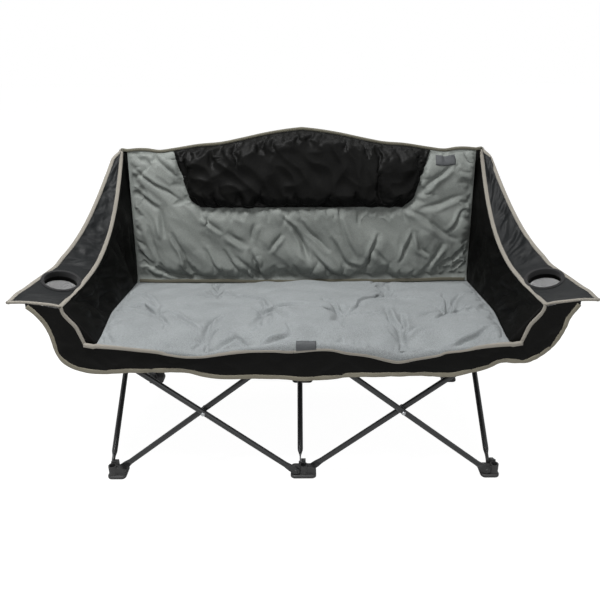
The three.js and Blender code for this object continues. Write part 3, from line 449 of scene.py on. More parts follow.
cross_model = tube_model("cross_tube_model")
arm_model = tube_model("arm_tube_model", ARM_REACH)
print("cross tube:", len(cross_model.data.polygons), "faces, arm tube:", len(arm_model.data.polygons))

# %% Tubes in their places
SIDES = {"left": -1, "right": 1}
STATIONS = {"left": -550.0, "centre": 0.0, "right": 550.0}
FACES = {"front": 0.0, "rear": DEPTH}
TOP = LOW + RISE


def lay_tube(node, model, start, end, across):
    laid(node, "_steel", model, aim(start, Vector(end) - Vector(start), across), coat, "tube")


for name, x in STATIONS.items():
    rear = DEPTH - INSET
    lay_tube(f"{name}_side_tube_rearward", cross_model, (x - LAYER, INSET, LOW), (x - LAYER, rear, TOP), (1, 0, 0))
    lay_tube(f"{name}_side_tube_forward", cross_model, (x + LAYER, rear, LOW), (x + LAYER, INSET, TOP), (1, 0, 0))

for name, start in (("left", -550.0), ("right", 0.0)):
    low, high = start + 22, start + 528
    for face, y in FACES.items():
        falling, rising = f"{face}_{name}_falling_tube", f"{face}_{name}_rising_tube"
        models = [cross_model, cross_model]
        if face == "front" and name == "left":
            falling, models[0] = "left_arm_tube", arm_model
        if face == "front" and name == "right":
            rising, models[1] = "right_arm_tube", arm_model
        lay_tube(falling, models[0], (high, y - LAYER, LOW), (low, y - LAYER, TOP), (0, 1, 0))
        lay_tube(rising, models[1], (low, y + LAYER, LOW), (high, y + LAYER, TOP), (0, 1, 0))
for model in (cross_model, arm_model):
    bpy.data.objects.remove(model)

# %% [markdown]
# ## Rivets, uprights and caps
# Each crossing has one rivet with a domed head on both sides and a washer between the tubes. The uprights are plain
# tube, and a moulded cap closes each tube that ends in the cloth.

# %% Crossing rivets
rivet_model = turned("rivet_model", [
    (0, -21.8), (3.4, -21.5), (5.2, -20.4), (6, -18.6), (6, -17.3), (3, -17.3), (3, -0.6), (7, -0.6),
    (7, 0.6), (3, 0.6), (3, 17.3), (6, 17.3), (6, 18.6), (5.2, 20.4), (3.4, 21.5), (0, 21.8)])
smooth_shade(rivet_model, 40)
MIDDLE = LOW + RISE / 2
rivets = {f"{name}_side_rivet": aim((x, DEPTH / 2, MIDDLE), (1, 0, 0)) for name, x in STATIONS.items()}
for name, side in SIDES.items():
    for face, y in FACES.items():
        rivets[f"{face}_{name}_rivet"] = aim((side * 275.0, y, MIDDLE), (0, 1, 0), (1, 0, 0))
for node, matrix in rivets.items():
    laid(node, "_domed", rivet_model, matrix, plated, "rivet")
bpy.data.objects.remove(rivet_model)
print("rivets:", len(rivets))

# %% Uprights and caps
UPRIGHT_TOPS = {"left": 830.0, "centre": 896.0, "right": 830.0}
for name, top in UPRIGHT_TOPS.items():
    upright = turned("upright_model", [(7, 8.3), (8, 8.3), (8, 430), (8, top), (7, top), (7, 8.3)])
    smooth_shade(upright, 40)
    laid(f"{name}_upright", "_steel", upright, Matrix.Translation((STATIONS[name] * MM, DEPTH * MM, 0)), coat, "tube")
    bpy.data.objects.remove(upright)

cap_model = turned("cap_model", [
    (8.4, -18), (8.8, -18), (9.4, -17.2), (9.4, 1.2), (8.9, 2.6), (7.4, 3.6), (4.5, 4), (0, 4)])
smooth_shade(cap_model, 50)
ARM_POST = {side: Vector((side * 22, side * LAYER, LOW)) for side in (-1, 1)}
ARM_WAY = {side: Vector((side * RUN, 0, RISE)).normalized() for side in (-1, 1)}
caps = {f"{name}_upright": ((x, DEPTH, UPRIGHT_TOPS[name]), (0, 0, 1)) for name, x in STATIONS.items()}
for name, side in SIDES.items():
    caps[f"{name}_arm_tube"] = (ARM_POST[side] + ARM_WAY[side] * (LENGTH + ARM_REACH), ARM_WAY[side])
for node, (place, way) in caps.items():
    laid(node + "_cap", "_domed", cap_model, aim(place, way, (0, 1, 0)), moulded, "moulding")
bpy.data.objects.remove(cap_model)
print("caps:", len(caps))

# %% [markdown]
# ## Mouldings
# Feet, hubs and sliders are injection moulded: every edge has a small radius. The CAD solids have the right shapes
# with sharp edges, so each one is copied, its doubles are merged and its edges are bevelled.

# %% Feet, hubs and sliders
def softened(node, radius):
    source = frame["nodes"][node]
    piece = copied(source, node + "_moulded", source.matrix_world)
    only(piece)
    bpy.ops.object.mode_set(mode="EDIT")
    bpy.ops.mesh.select_all(action="SELECT")
    bpy.ops.mesh.remove_doubles(threshold=0.00002)
    bpy.ops.mesh.dissolve_limited(angle_limit=math.radians(1))
    bpy.ops.object.mode_set(mode="OBJECT")
    use_modifier(piece, "BEVEL", width=radius * MM, segments=2, limit_method="ANGLE", angle_limit=math.radians(40),
                 use_clamp_overlap=True, harden_normals=False)
    smooth_shade(piece, 40)
    finished(piece, moulded, BODY_OF[node], "moulding", node)


for name in STATIONS:
    for node in (f"front_{name}_foot", f"rear_{name}_foot", f"front_{name}_hub", f"rear_{name}_slider"):
        softened(node, 0.7)

# %% [markdown]
# ## Cloth by the yard
# Sheets and pads are made as grids of points that follow the real cut of the cloth. A table of points and a smooth
# line through it gives each hanging edge. A sheet gets its thickness from Solidify, and a tape is drawn along the
# sheet's own edge, so that it follows every ripple. Lengths here are in millimetres until the mesh is made.

# %% Lines, grids and their normals
def smooth(low, high, value):
    share = np.clip((np.asarray(value, float) - low) / (high - low), 0, 1)
    return share * share * (3 - 2 * share)


def through(table, place):
    """A smooth line through a table of [place, value] pairs."""
    xs, ys = np.array(table, float).T
    last = len(xs) - 2
    k = np.clip(np.searchsorted(xs, place, side="left") - 1, 0, last)
    run, rise = xs[k + 1] - xs[k], ys[k + 1] - ys[k]
    before, after = np.maximum(k - 1, 0), np.minimum(k + 2, last + 1)
    start = (ys[k + 1] - ys[before]) / (xs[k + 1] - xs[before]) * run
    end = (ys[after] - ys[k]) / (xs[after] - xs[k]) * run
    t = np.clip((place - xs[k]) / run, 0, 1)
    bend = (start - rise) * (1 - t) - (end - rise) * t
    return ys[k] + rise * t + t * (1 - t) * bend


def mix(low, high, share):
    return low + (high - low) * share


def shares(count, low=0.0):
    """Evenly spaced shares up to 1, as one row."""
    return np.linspace(low, 1, count)[None]


def rounded(share):
    return 1 - np.abs(share) ** 6


def stack(x, y, z):
    return np.stack(np.broadcast_arrays(x, y, z), axis=-1).astype(float)


def unit(vectors):
    return vectors / np.maximum(np.linalg.norm(vectors, axis=-1, keepdims=True), 1e-9)


def normals_of(grid):
    """The unit normal of a grid at each of its points."""
    return unit(np.cross(np.gradient(grid, axis=1), np.gradient(grid, axis=0)))


def rim(grid, first, last, sides):
    """A mask of a grid's first and last rows, and of as many columns at both sides."""
    mask = np.ones(grid.shape[:2], bool)
    mask[first:-last, sides:-sides] = False
    return mask


print("halfway up a smooth hill:", through([(0, 0), (1, 1), (2, 0)], 0.5))

# %% [markdown]
# ## Creases
# Stuffed cloth has two kinds of folds. Small ones lie everywhere and run roughly one way, which noise gives when it
# is drawn out along a direction. Large ones start at a seam or a quilting point, so they are drawn one by one as
# lines. Both become heights on the grid itself, since bump alone would leave the outline straight.

# %% Crumples and furrows
def crumple(u, v, size, turn=0.0, stretch=1.0, seed=0.0, ridges=False):
    """Smooth noise over a pair of coordinates, drawn out along a direction. Ridges make it fold sharply."""
    cos, sin = math.cos(turn), math.sin(turn)
    along = ((u * cos + v * sin) / (size * stretch)).ravel()
    across = ((-u * sin + v * cos) / size).ravel()
    values = np.array([noise.noise((a, b, seed)) for a, b in zip(along, across)])
    if ridges:
        values = 0.5 - np.abs(values) * 1.6
    return values.reshape(np.shape(u))


def crumples(u, v, *layers):
    """The sum of several layers, each with its height and then what crumple takes."""
    return sum(crumple(u, v, *layer) * height for height, *layer in layers)


def furrow(u, v, lines, width, depth):
    """Folds along drawn lines, as a height: a sharp valley, a plump ridge on one side, a slow rise on the other."""
    u, v = u + crumple(u, v, 60, seed=61.0) * 9, v + crumple(u, v, 60, seed=62.0) * 9
    height = np.zeros(u.shape)
    for count, line in enumerate(lines):
        points = np.array(line, float)
        runs = np.hypot(*np.diff(points, axis=0).T)
        total, passed = runs.sum(), 0.0
        nearest, place = np.full(height.shape, 1e9), np.zeros(height.shape)
        for (a, b), run in zip(zip(points[:-1], points[1:]), runs):
            way = (b - a) / run
            along = np.clip((u - a[0]) * way[0] + (v - a[1]) * way[1], 0, run)
            beside = (v - a[1]) * way[0] - (u - a[0]) * way[1]
            off = np.hypot(u - a[0] - along * way[0], v - a[1] - along * way[1]) * np.sign(beside)
            closer = np.abs(off) < np.abs(nearest)
            nearest, place = np.where(closer, off, nearest), np.where(closer, passed + along, place)
            passed += run
        fade = np.clip(4 * place / total * (1 - place / total), 0, 1) ** 0.7
        wide = width * (0.8 + 0.4 * ((count * 5) % 7) / 6)
        side = nearest * (-1) ** (count // 3)
        ridge = 0.7 * np.exp(-((side - 2.0 * wide) / (1.3 * wide)) ** 2)
        ridge += 0.35 * np.exp(-((side + 4 * wide) / (3 * wide)) ** 2)
        strong = min(1.0, 0.4 + total / 150) * (0.7 + 0.3 * ((count * 3) % 5) / 4)
        height += depth * strong * fade * (ridge - np.exp(-(side / wide) ** 2))
    return height


print("noise at a point:", crumple(np.array([10.0]), np.array([5.0]), 20)[0].round(3))

# %% [markdown]
# ## From points to meshes
# A grid gives quads in rows and columns, and its distances along the cloth serve as its UV map in metres. Two grids
# make a pad, and one makes a sheet.

# %% Grids made into meshes
def finer(grid):
    """A grid with a point added between each pair of its points, on a smooth line through them."""
    for axis in (0, 1):
        line = np.moveaxis(grid, axis, 0)
        ends = np.concatenate([2 * line[:1] - line[1:2], line, 2 * line[-1:] - line[-2:-1]])
        made = np.empty((2 * len(line) - 1,) + line.shape[1:])
        made[::2] = line
        made[1::2] = (9 * (ends[1:-2] + ends[2:-1]) - ends[:-3] - ends[3:]) / 16
        grid = np.moveaxis(made, 0, axis)
    return grid


def quads(rows, columns, wrap=False):
    j, i = np.meshgrid(np.arange(rows - 1), np.arange(columns if wrap else columns - 1), indexing="ij")
    nxt = (i + 1) % columns
    corners = [j * columns + i, j * columns + nxt, (j + 1) * columns + nxt, (j + 1) * columns + i]
    return np.stack(corners, -1).reshape(-1, 4)


def mesh_of(name, points, faces, uv):
    mesh = bpy.data.meshes.new(name)
    mesh.from_pydata((points.reshape(-1, 3) * MM).tolist(), [], [list(f) for f in faces])
    layer = mesh.uv_layers.new(name="cloth")
    corner = np.empty(len(mesh.loops), int)
    mesh.loops.foreach_get("vertex_index", corner)
    layer.data.foreach_set("uv", np.asarray(uv)[corner].astype(np.float32).ravel())
    mesh.update()
    mesh.shade_smooth()
    return staged(name, mesh)


def lengths(grid, axis):
    """Distance along each line of a grid, in metres."""
    steps = np.linalg.norm(np.diff(grid, axis=axis), axis=-1)
    return np.cumsum(np.insert(steps, 0, 0, axis=axis), axis=axis) * MM


def grid_uv(grid):
    return np.stack([lengths(grid, 1), lengths(grid, 0)], -1).reshape(-1, 2)


def outward(piece):
    work = bmesh.new()
    work.from_mesh(piece.data)
    bmesh.ops.recalc_face_normals(work, faces=work.faces)
    work.to_mesh(piece.data)
    work.free()
    return piece


def sheet_of(name, grid, thickness, levels=0):
    """A sheet of even thickness about a grid, which is how a single cloth is cut and hung."""
    piece = mesh_of(name, grid, quads(*grid.shape[:2]), grid_uv(grid))
    if levels:
        use_modifier(piece, "SUBSURF", levels=levels, render_levels=levels)
    use_modifier(piece, "SOLIDIFY", thickness=thickness * MM, offset=0)
    return outward(piece)


def shell_of(name, upper, lower):
    """A closed pad between two grids of the same size, walled along their common border."""
    rows, columns = upper.shape[:2]
    half = rows * columns
    faces = quads(rows, columns)
    index = np.arange(half).reshape(rows, columns)
    border = np.concatenate([index[0, :-1], index[:-1, -1], index[-1, :0:-1], index[:0:-1, 0]])
    walls = np.stack([border, np.roll(border, -1), np.roll(border, -1) + half, border + half], -1)
    every = np.concatenate([faces, faces[:, ::-1] + half, walls])
    return outward(mesh_of(name, np.stack([upper, lower]), every, np.tile(grid_uv(upper), (2, 1))))


def edge_of(grid, side):
    """A grid's edge as a path, the way in from it, and its normal."""
    turned_grid, way = (grid, normals_of(grid)), side.split("_")
    if way[1] == "column":
        turned_grid = [np.swapaxes(part, 0, 1) for part in turned_grid]
    first, second = (0, 1) if way[0] == "first" else (-1, -2)
    path, inner, normal = turned_grid[0][first], turned_grid[0][second], turned_grid[1][first]
    tangent = unit(np.gradient(path, axis=0))
    inward = inner - path
    return path, unit(inward - (inward * tangent).sum(-1, keepdims=True) * tangent), normal


def cut_size(grid):
    """The size of the flat cloth: its width, its length and its area, in metres."""
    patches = np.cross(np.diff(grid[:-1], axis=1), np.diff(grid[:, :-1], axis=0))
    area = np.linalg.norm(patches, axis=-1).sum() * MM ** 2
    width, length = lengths(grid, 1)[:, -1].max(), lengths(grid, 0)[-1].max()
    return (float(width), float(length)), float(min(area, width * length))


print("a square of 10 mm:", cut_size(stack(shares(3) * 10, shares(3).T * 10, 0)))

# %% [markdown]
# ## How cloth rides on the frame
# As the frame folds, each cloth rides on one body. The seat would swing out as one board, so it is cut into four
# strips on four tubes. At rest the strips meet without a seam.


STRIP_BODIES = ["left_arm_tube", "front_left_rising_tube", "front_right_falling_tube", "right_arm_tube"]
STRIP_CUTS = [-278.0, -25.0, 278.0]


def strips(line):
    """The seat's four strips, each with its body, and where it starts and ends along a line of points."""
    cuts = [int(np.abs(line[:, 0] - cut).argmin()) for cut in STRIP_CUTS]
    return [(count, body, slice(start, end)) for count, body, start, end
            in zip(range(1, 5), STRIP_BODIES, [0] + cuts, [cut + 1 for cut in cuts] + [len(line)])]


# %% Dressing a soft piece
def dress(piece, finish, body, slot, fold, *nodes):
    """Finishes a soft piece, and gives it a mesh of its own when a fold is given."""
    finished(piece, finish, body, slot, *nodes)
    if fold:
        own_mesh(piece)


def hang(name, grid, thickness, finish, body, fold, node, held, rests_on):
    """A single cloth of even thickness, finished and put on its body."""
    cloth = sheet_of(name, grid, thickness)
    dress(cloth, finish, body, "cloth", fold, node)


def bind(name, path, inward, normal, width, thickness, overhang, finish, body, fold):
    """A woven tape folded over an edge. Its UV map runs along it in metres."""
    inward, normal = np.broadcast_to(inward, path.shape), np.broadcast_to(normal, path.shape)
    angles = np.linspace(0, 2 * np.pi, 13)[:-1] + np.pi / 12
    wide, thick = (np.sign(wave) * np.abs(wave) ** 0.55 * reach / 2
                   for wave, reach in ((np.cos(angles), width), (np.sin(angles), thickness)))
    centre = path + inward * (width / 2 - overhang)
    rings = centre[:, None] + wide[None, :, None] * inward[:, None] + thick[None, :, None] * normal[:, None]
    rows, columns = rings.shape[:2]
    faces = [list(f) for f in quads(rows, columns, wrap=True)]
    faces += [list(range(columns))[::-1], list(range((rows - 1) * columns, rows * columns))]
    around = shares(columns) * width * 2 * MM
    uv = np.stack(np.broadcast_arrays(lengths(path[:, None], 0), around), -1).reshape(-1, 2)
    dress(outward(mesh_of(name, rings, faces, uv)), finish, body, "binding", fold)


def with_corners(path, corner):
    """A path with a few points added at both ends, mirrored on the left."""
    corner = np.array(corner)
    return np.concatenate([corner * (-1, 1, 1), path, corner[::-1]])


# %% [markdown]
# ## The seat
# The seat is a padded cover of soft melange cloth, quilted down at a few points, that lies on a plain sling and
# rolls over its front edge. Between the tubes it sags, and its loose front lip hangs in a wavy line.

# %% Where the seat lies
SEAT_HALF, SEAT_FRONT_HALF = 556.0, 534.0
SLING_FRONT, SLING_REAR, SLING_HIGH, SLING_LOW, SAG_FRONT, SAG_REAR = 46, 484, 442.0, 405.0, 24.0, 3.6
PAD_REAR, PAD_SHOULDER, PAD_THICK, PAD_CROWN, PAD_EDGE = 489.0, -8.0, 16.0, 12.0, 7.0
LIP_Y, LIP_THICK, LIP_BEND = -25.5, 10.5, 3.5
TUFTS = [(420, 160), (260, 325), (106, 140), (262, 12)]
LIP_DROPS = [(-1, 1), (-0.897, 6), (-0.801, 12), (-0.708, 18), (-0.655, 26), (-0.575, 33), (-0.493, 33),
             (-0.436, 29), (-0.313, 19), (-0.15, 17), (-0.064, 20), (0.071, 14), (0.14, 15), (0.208, 24), (0.318, 33),
             (0.444, 51), (0.485, 51), (0.552, 43), (0.659, 32), (0.693, 24), (0.781, 18), (0.852, 9), (0.938, 3),
             (1, 1)]


def seat_half(y):
    return mix(SEAT_FRONT_HALF, SEAT_HALF, smooth(0, 220, y))


def sling_z(x, y):
    fall = np.clip((y - SLING_FRONT) / (SLING_REAR - SLING_FRONT), 0, 1)
    return mix(SLING_HIGH, SLING_LOW, fall) - mix(SAG_FRONT, SAG_REAR, fall) * np.sin(np.pi * x / 550) ** 2


def lip_z(x):
    return SLING_HIGH - through(LIP_DROPS, x / SEAT_FRONT_HALF)


def pad_floor(x, y):
    return sling_z(x, y) + 1.4


def tuft_distances(x, y):
    """The distances to the quilting points, which lie alike on both halves of the seat."""
    return [np.hypot(np.abs(x) - tx, y - ty) for tx, ty in TUFTS]


def pad_depth(x, y):
    across = x / seat_half(y)
    along = 2 * (y - PAD_SHOULDER) / (PAD_REAR - PAD_SHOULDER) - 1
    rear = 1 - smooth(PAD_REAR - 70, PAD_REAR - 8, y)
    body = (PAD_EDGE + (PAD_THICK - PAD_EDGE) * rounded(across) * rear) * mix(0.55, 1, smooth(-20, 60, y))
    drawn = sum(10 * np.exp(-(off / 34) ** 2) for off in tuft_distances(x, y))
    return body + PAD_CROWN * (1 - across ** 2) * (1 - along ** 2) - drawn


print("between the tubes the sling sags to", round(float(sling_z(275, SLING_FRONT)), 1), "mm")

# %% The sling and the pad's two faces
y = np.linspace(-18, SLING_REAR, 52)[:, None]
sling_x = shares(112, -1) * seat_half(y)
sling_grid = stack(sling_x, y, sling_z(sling_x, y))


def spline(points, counts):
    """Points along a smooth curve through a list of points, each an array, with a count for each stretch."""
    made = []
    for k, count in enumerate(counts):
        a, b, c, d = (points[min(max(k + step, 0), len(points) - 1)] for step in (-1, 0, 1, 2))
        for t in np.linspace(0, 1, count, endpoint=False):
            made.append(0.5 * (2 * b + (c - a) * t + (2 * a - 5 * b + 4 * c - d) * t ** 2
                               + (3 * b - a - 3 * c + d) * t ** 3))
    return made + [points[-1]]


pad_share = shares(146, -1)
lip_x = pad_share[0] * SEAT_FRONT_HALF
lip = lip_z(lip_x)
floor = pad_floor(lip_x, PAD_SHOULDER)
crown = floor + pad_depth(lip_x, PAD_SHOULDER)
outer_y = LIP_Y - LIP_THICK
upper = [(outer_y + LIP_BEND, lip), (outer_y, mix(lip, floor, 0.35)),
         (outer_y + 0.4 * LIP_BEND, mix(lip, crown, 0.62)), (outer_y + 2.4 * LIP_BEND, mix(lip, crown, 0.88)),
         (PAD_SHOULDER, crown)]
lower = [(LIP_Y, lip), (LIP_Y, mix(lip, floor, 0.3)), (LIP_Y, floor - LIP_BEND / 4), (LIP_Y + LIP_BEND, floor),
         (PAD_SHOULDER, floor)]
top_y = np.linspace(PAD_SHOULDER, PAD_REAR, 66)[1:, None]
top_x = pad_share * seat_half(top_y)
pad_top, pad_under = (
    np.array(spline([stack(lip_x, *point) for point in lip_points], (5, 4, 2, 4))
             + list(stack(top_x, top_y, pad_floor(top_x, top_y) + depth)))
    for lip_points, depth in ((upper, pad_depth(top_x, top_y)), (lower, 0.0)))
print("seat pad grid:", pad_top.shape)

# %% [markdown]
# ## Filling the pads
# Real quilting swells between the points where it is sewn down. Blender's cloth does this: the face of the pad is a
# cloth that is a little too large, held along its border and at its quilting points, and pressure lifts the rest.
# Twenty frames are enough. No point may move further than a set cap, and then the shape is kept as plain mesh.

# %% Creases drawn on the seat and the back
SEAT_CREASES = [
    [(-530, 342), (-477, 285), (-423, 190)], [(-539, 197), (-473, 193), (-417, 161)],
    [(-422, 185), (-365, 141), (-296, 58), (-273, 32)], [(-251, 32), (-258, -71)],
    [(-263, 41), (-249, 102), (-222, 149)], [(-254, 24), (-223, 49)], [(-289, 356), (-264, 333), (-221, 379)],
    [(-256, 338), (-188, 265), (-119, 227), (-95, 157)], [(-134, 148), (-67, 157), (18, 175)],
    [(-102, 147), (-37, 73)], [(-45, 47), (-29, 5)], [(-245, -64), (-215, -17), (-177, 6), (-129, -42)],
    [(-111, -50), (-87, -27), (-29, -3)], [(58, 227), (110, 119)],
    [(110, 119), (128, 129), (170, 214), (240, 307), (264, 307)], [(249, 345), (267, 295), (293, 344)],
    [(265, 283), (361, 270)], [(114, 119), (206, 128), (234, 149)], [(241, 202), (240, 128), (254, 49), (265, 12)],
    [(283, 138), (265, 12)], [(318, 58), (265, 12)], [(433, 305), (415, 157), (485, 304)],
    [(316, 117), (369, 147), (415, 157), (480, 189), (515, 188)], [(262, -6), (238, -114)],
    [(145, -13), (170, -48), (195, -97)], [(274, -82), (315, -66), (336, -58)],
    [(340, -75), (361, -50), (438, -8), (513, 28)]]
BACK_CREASES = [
    [(-541, 790), (-391, 692)], [(-469, 820), (-393, 766)], [(-549, 717), (-461, 660)], [(-423, 591), (-355, 419)],
    [(-460, 664), (-442, 566)], [(-505, 612), (-477, 490)], [(-323, 540), (-283, 454)], [(-259, 535), (-206, 441)],
    [(-170, 535), (-137, 414)], [(-211, 510), (-133, 414)], [(-324, 639), (-260, 590)], [(-248, 594), (-178, 539)],
    [(-147, 622), (-169, 556)], [(-64, 589), (-110, 522)], [(-83, 646), (-20, 597), (24, 496)],
    [(-543, 481), (-355, 419)], [(-14, 628), (92, 523)], [(-18, 607), (19, 501)], [(11, 536), (128, 422)],
    [(95, 571), (144, 482), (192, 463)], [(115, 632), (177, 504)], [(255, 588), (200, 463)],
    [(334, 665), (421, 613), (510, 552)], [(372, 596), (389, 534), (420, 507)], [(468, 547), (415, 462)],
    [(529, 706), (376, 656)], [(479, 796), (372, 707)], [(534, 655), (478, 578)], [(363, 596), (324, 485)],
    [(232, 535), (277, 477)]]
print("drawn creases:", len(SEAT_CREASES), "on the seat,", len(BACK_CREASES), "on the back")


def creased(grid, height, held):
    """The grid with a relief along its normals, which fades out towards the points that are held."""
    loose = (~held).astype(float)
    for _ in range(8):
        loose[1:-1, 1:-1] = (loose[:-2, 1:-1] + loose[2:, 1:-1] + loose[1:-1, :-2] + loose[1:-1, 2:]) / 4
        loose[held] = 0
    return grid + normals_of(grid) * (height * loose)[..., None]


# %% Inflating a face
CLOTH_FRAMES = 20
CLOTH_SETTINGS = {"quality": 6, "mass": 0.25, "tension_stiffness": 12.0, "compression_stiffness": 12.0,
                  "shear_stiffness": 4.0, "bending_stiffness": 0.35, "air_damping": 2.0, "use_pressure": True}


def inflate(grid, held, pressure, growth, cap, seed=0.0):
    """The grid after cloth has swelled it between the points that are held, by no more than the cap."""
    rows, columns = grid.shape[:2]
    uv = grid_uv(grid)
    u, v = (uv * 1000).reshape(rows, columns, 2).transpose(2, 0, 1)
    start = grid + normals_of(grid) * (crumple(u, v, 26.0, seed=seed) * 0.8 * ~held)[..., None]
    cloth = mesh_of("cloth_in_work", start, quads(rows, columns), uv)
    cloth.vertex_groups.new(name="held").add(np.flatnonzero(held.ravel()).tolist(), 1.0, "REPLACE")
    modifier = cloth.modifiers.new("cloth", "CLOTH")
    settings = modifier.settings
    for key, value in CLOTH_SETTINGS.items():
        setattr(settings, key, value)
    settings.uniform_pressure_force = pressure
    settings.shrink_min = -growth
    settings.vertex_group_mass = "held"
    settings.effector_weights.gravity = 0
    modifier.point_cache.frame_end = CLOTH_FRAMES
    for frame_number in range(1, CLOTH_FRAMES + 1):
        scene.frame_set(frame_number)
    worked = cloth.evaluated_get(bpy.context.evaluated_depsgraph_get())
    points = np.empty(rows * columns * 3)
    worked.data.vertices.foreach_get("co", points)
    scene.frame_set(1)
    bpy.data.objects.remove(cloth)
    move = points.reshape(rows, columns, 3) / MM - grid
    reach = np.linalg.norm(move, axis=-1, keepdims=True)
    print("swelled by up to", round(float(reach.max()), 1), "mm")
    return grid + move * np.minimum(1, cap / np.maximum(reach, 1e-6))


def cushion(name, upper, lower, finish, body, slot, fold, node, normals=None):
    """A padded cloth between two faces."""
    pad = shell_of(name, upper, lower)
    if normals is not None:
        pad.data.normals_split_custom_set_from_vertices(normals)
    dress(pad, finish, body, slot, fold, node)


# %% The seat pad
pad_x, pad_y = pad_top[..., :1], pad_top[..., 1:2]
held = (np.min(tuft_distances(pad_x, pad_y), axis=0)[..., 0] < 7) & (np.arange(len(pad_top))[:, None] > 14)
held |= rim(pad_top, 7, 2, 2)
reach = 12.5 * smooth(-40, 40, pad_y) * (1 - 0.9 * smooth(PAD_REAR - 90, PAD_REAR - 20, pad_y))
reach *= smooth(-4, 36, seat_half(pad_y) - np.abs(pad_x))
pad_top, pad_under = finer(inflate(pad_top, held, 4.0, 0.08, reach)), finer(pad_under)
pad_x, pad_y = pad_top[..., 0], pad_top[..., 1]
relief = furrow(pad_x, pad_y, SEAT_CREASES, 5.5, 10.5) + crumples(pad_x, pad_y, (7.0, 48, 0.4, 1.5, 51.0))
pad_top = creased(pad_top, relief, rim(pad_top, 22, 6, 2))
print("seat pad:", pad_top.shape)

# %% [markdown]
# ## The seat in strips
# The cover is one piece on the real seat. Here its pad, its sling and the tape along its front are cut in four. The
# normals of the whole pad are laid on the strips, so that light shows no seam where they meet.

# %% The seat in four strips
whole = shell_of("seat_in_work", pad_top, pad_under)
seat_normals = np.empty(len(whole.data.vertices) * 3)
whole.data.vertices.foreach_get("normal", seat_normals)
seat_normals = seat_normals.reshape((2,) + pad_top.shape)
bpy.data.objects.remove(whole)
for count, body, part in strips(pad_top[0]):
    cushion(f"seat_pad_cloth_{count}", pad_top[:, part], pad_under[:, part], seat_cloth, body, "seat_cloth",
            "seat", "seat_pad", seat_normals[:, :, part].reshape(-1, 3))
for count, body, part in strips(sling_grid[0]):
    hang(f"seat_sling_cloth_{count}", sling_grid[:, part], 1.6, lining_cloth, body, "seat", "seat_sling",
         held="stretched", rests_on=[f"seat_pad_cloth_{count}"])

lip_path, lip_in, lip_normal = edge_of(pad_top, "first_row")
lip_path = with_corners(lip_path + (0, 3.0, 1.0),
                        [(567, -25.5, 443), (560, -26, 442), (550, -28, 441.5), (541, -31, 441)])
lip_in, lip_normal = (np.pad(way, ((4, 4), (0, 0)), mode="edge") for way in (lip_in, lip_normal))
for count, body, part in strips(lip_path):
    bind(f"seat_front_tape_{count}", lip_path[part], lip_in[part], lip_normal[part], 12, 11, 4,
         taupe_tape, body, "seat")
print("seat strips:", len(STRIP_BODIES))

# %% [markdown]
# ## The back
# The back is one padded cover that hangs from the uprights and bows forward, with a black pillow for the heads sewn
# on its upper half. It is stuffed more loosely than the seat, so it creases along the pull of its upper corners.

# %% The back's faces
BACK_HALF, BACK_LOW, HEEL_Z, SHOULDER_Z, REAR_FACE = 556.0, 409.0, 432.0, 835.0, 554.0
BACK_TOP = [(0, 909), (53, 903), (120, 892), (195, 876), (258, 864), (328, 858), (412, 845), (455, 840), (490, 845),
            (520, 846), (556, 843)]


def back_top(x):
    return through(BACK_TOP, np.abs(x))


HEAD_LOW, HEAD_TOP, HEAD_CORNER = 668.0, back_top(0.0) - 5, 46.0
BEHIND = ("rear_centre_foot", "middle")


def back_rear(z):
    low = mix(498.5, 512.0, (z - BACK_LOW) / (HEEL_Z - BACK_LOW))
    high = mix(512.0, REAR_FACE, (z - HEEL_Z) / (SHOULDER_Z - HEEL_Z))
    return np.where(z < HEEL_Z, low, np.minimum(high, REAR_FACE))


def head_half(z):
    """Half the width of the head pillow at a height: it widens upwards from two round corners."""
    turn = np.clip(1 - (z - HEAD_LOW) / HEAD_CORNER, 0, 1)
    return mix(352.0, 408.0, (z - HEAD_LOW) / (HEAD_TOP - HEAD_LOW)) - HEAD_CORNER * (1 - np.sqrt(1 - turn ** 2))


def back_front(x, z):
    across = x / BACK_HALF
    along = 2 * (z - BACK_LOW) / (back_top(x) - BACK_LOW) - 1
    body = 9 + 13 * rounded(across) * rounded(along)
    return back_rear(z) - body - 14 * (1 - across ** 2) * (1 - along ** 2)


def under_head(x, z, margin, below):
    return (np.abs(x) < head_half(z) + margin) & (z > HEAD_LOW - below)


back_x = np.linspace(-BACK_HALF, BACK_HALF, 150)[None]
back_z = mix(BACK_LOW, back_top(back_x), shares(66).T)
back_face = stack(back_x, back_front(back_x, back_z), back_z)
back_behind = stack(back_x, back_rear(back_z), back_z)
held = rim(back_face, 2, 2, 2) | (back_z < 436) | under_head(back_x, back_z, 0, 0)
back_face = finer(inflate(back_face, held, 3.0, 0.06, 14, seed=3.0))
face_x, face_z = back_face[..., 0], back_face[..., 2]
relief = furrow(face_x, face_z, BACK_CREASES, 6.5, 10.5) + crumples(
    face_x, face_z, (18.0, 85, -0.7, 1.8, 35.0), (5.5, 44, -0.9, 2.4, 31.0, True), (0.9, 15, -0.9, 2.6, 33.0, True))
back_face = creased(back_face, relief, rim(back_face, 3, 3, 2) | under_head(face_x, face_z, 12, 2))
cushion("back_pad_cloth", back_face, finer(back_behind), back_cloth, BEHIND[0], "back_cloth", "middle",
        "back_pad")
print("back:", back_face.shape)

# %% The back's lining
lining_x = np.linspace(-BACK_HALF, BACK_HALF, 100)[None]
lining_grid = stack(lining_x, 555.3, mix(447.0, back_top(lining_x) - 3, shares(44).T))
hang("back_lining_cloth", lining_grid, 1.6, lining_cloth, *BEHIND, "back_lining",
     held="hung", rests_on=["back_pad_cloth"])

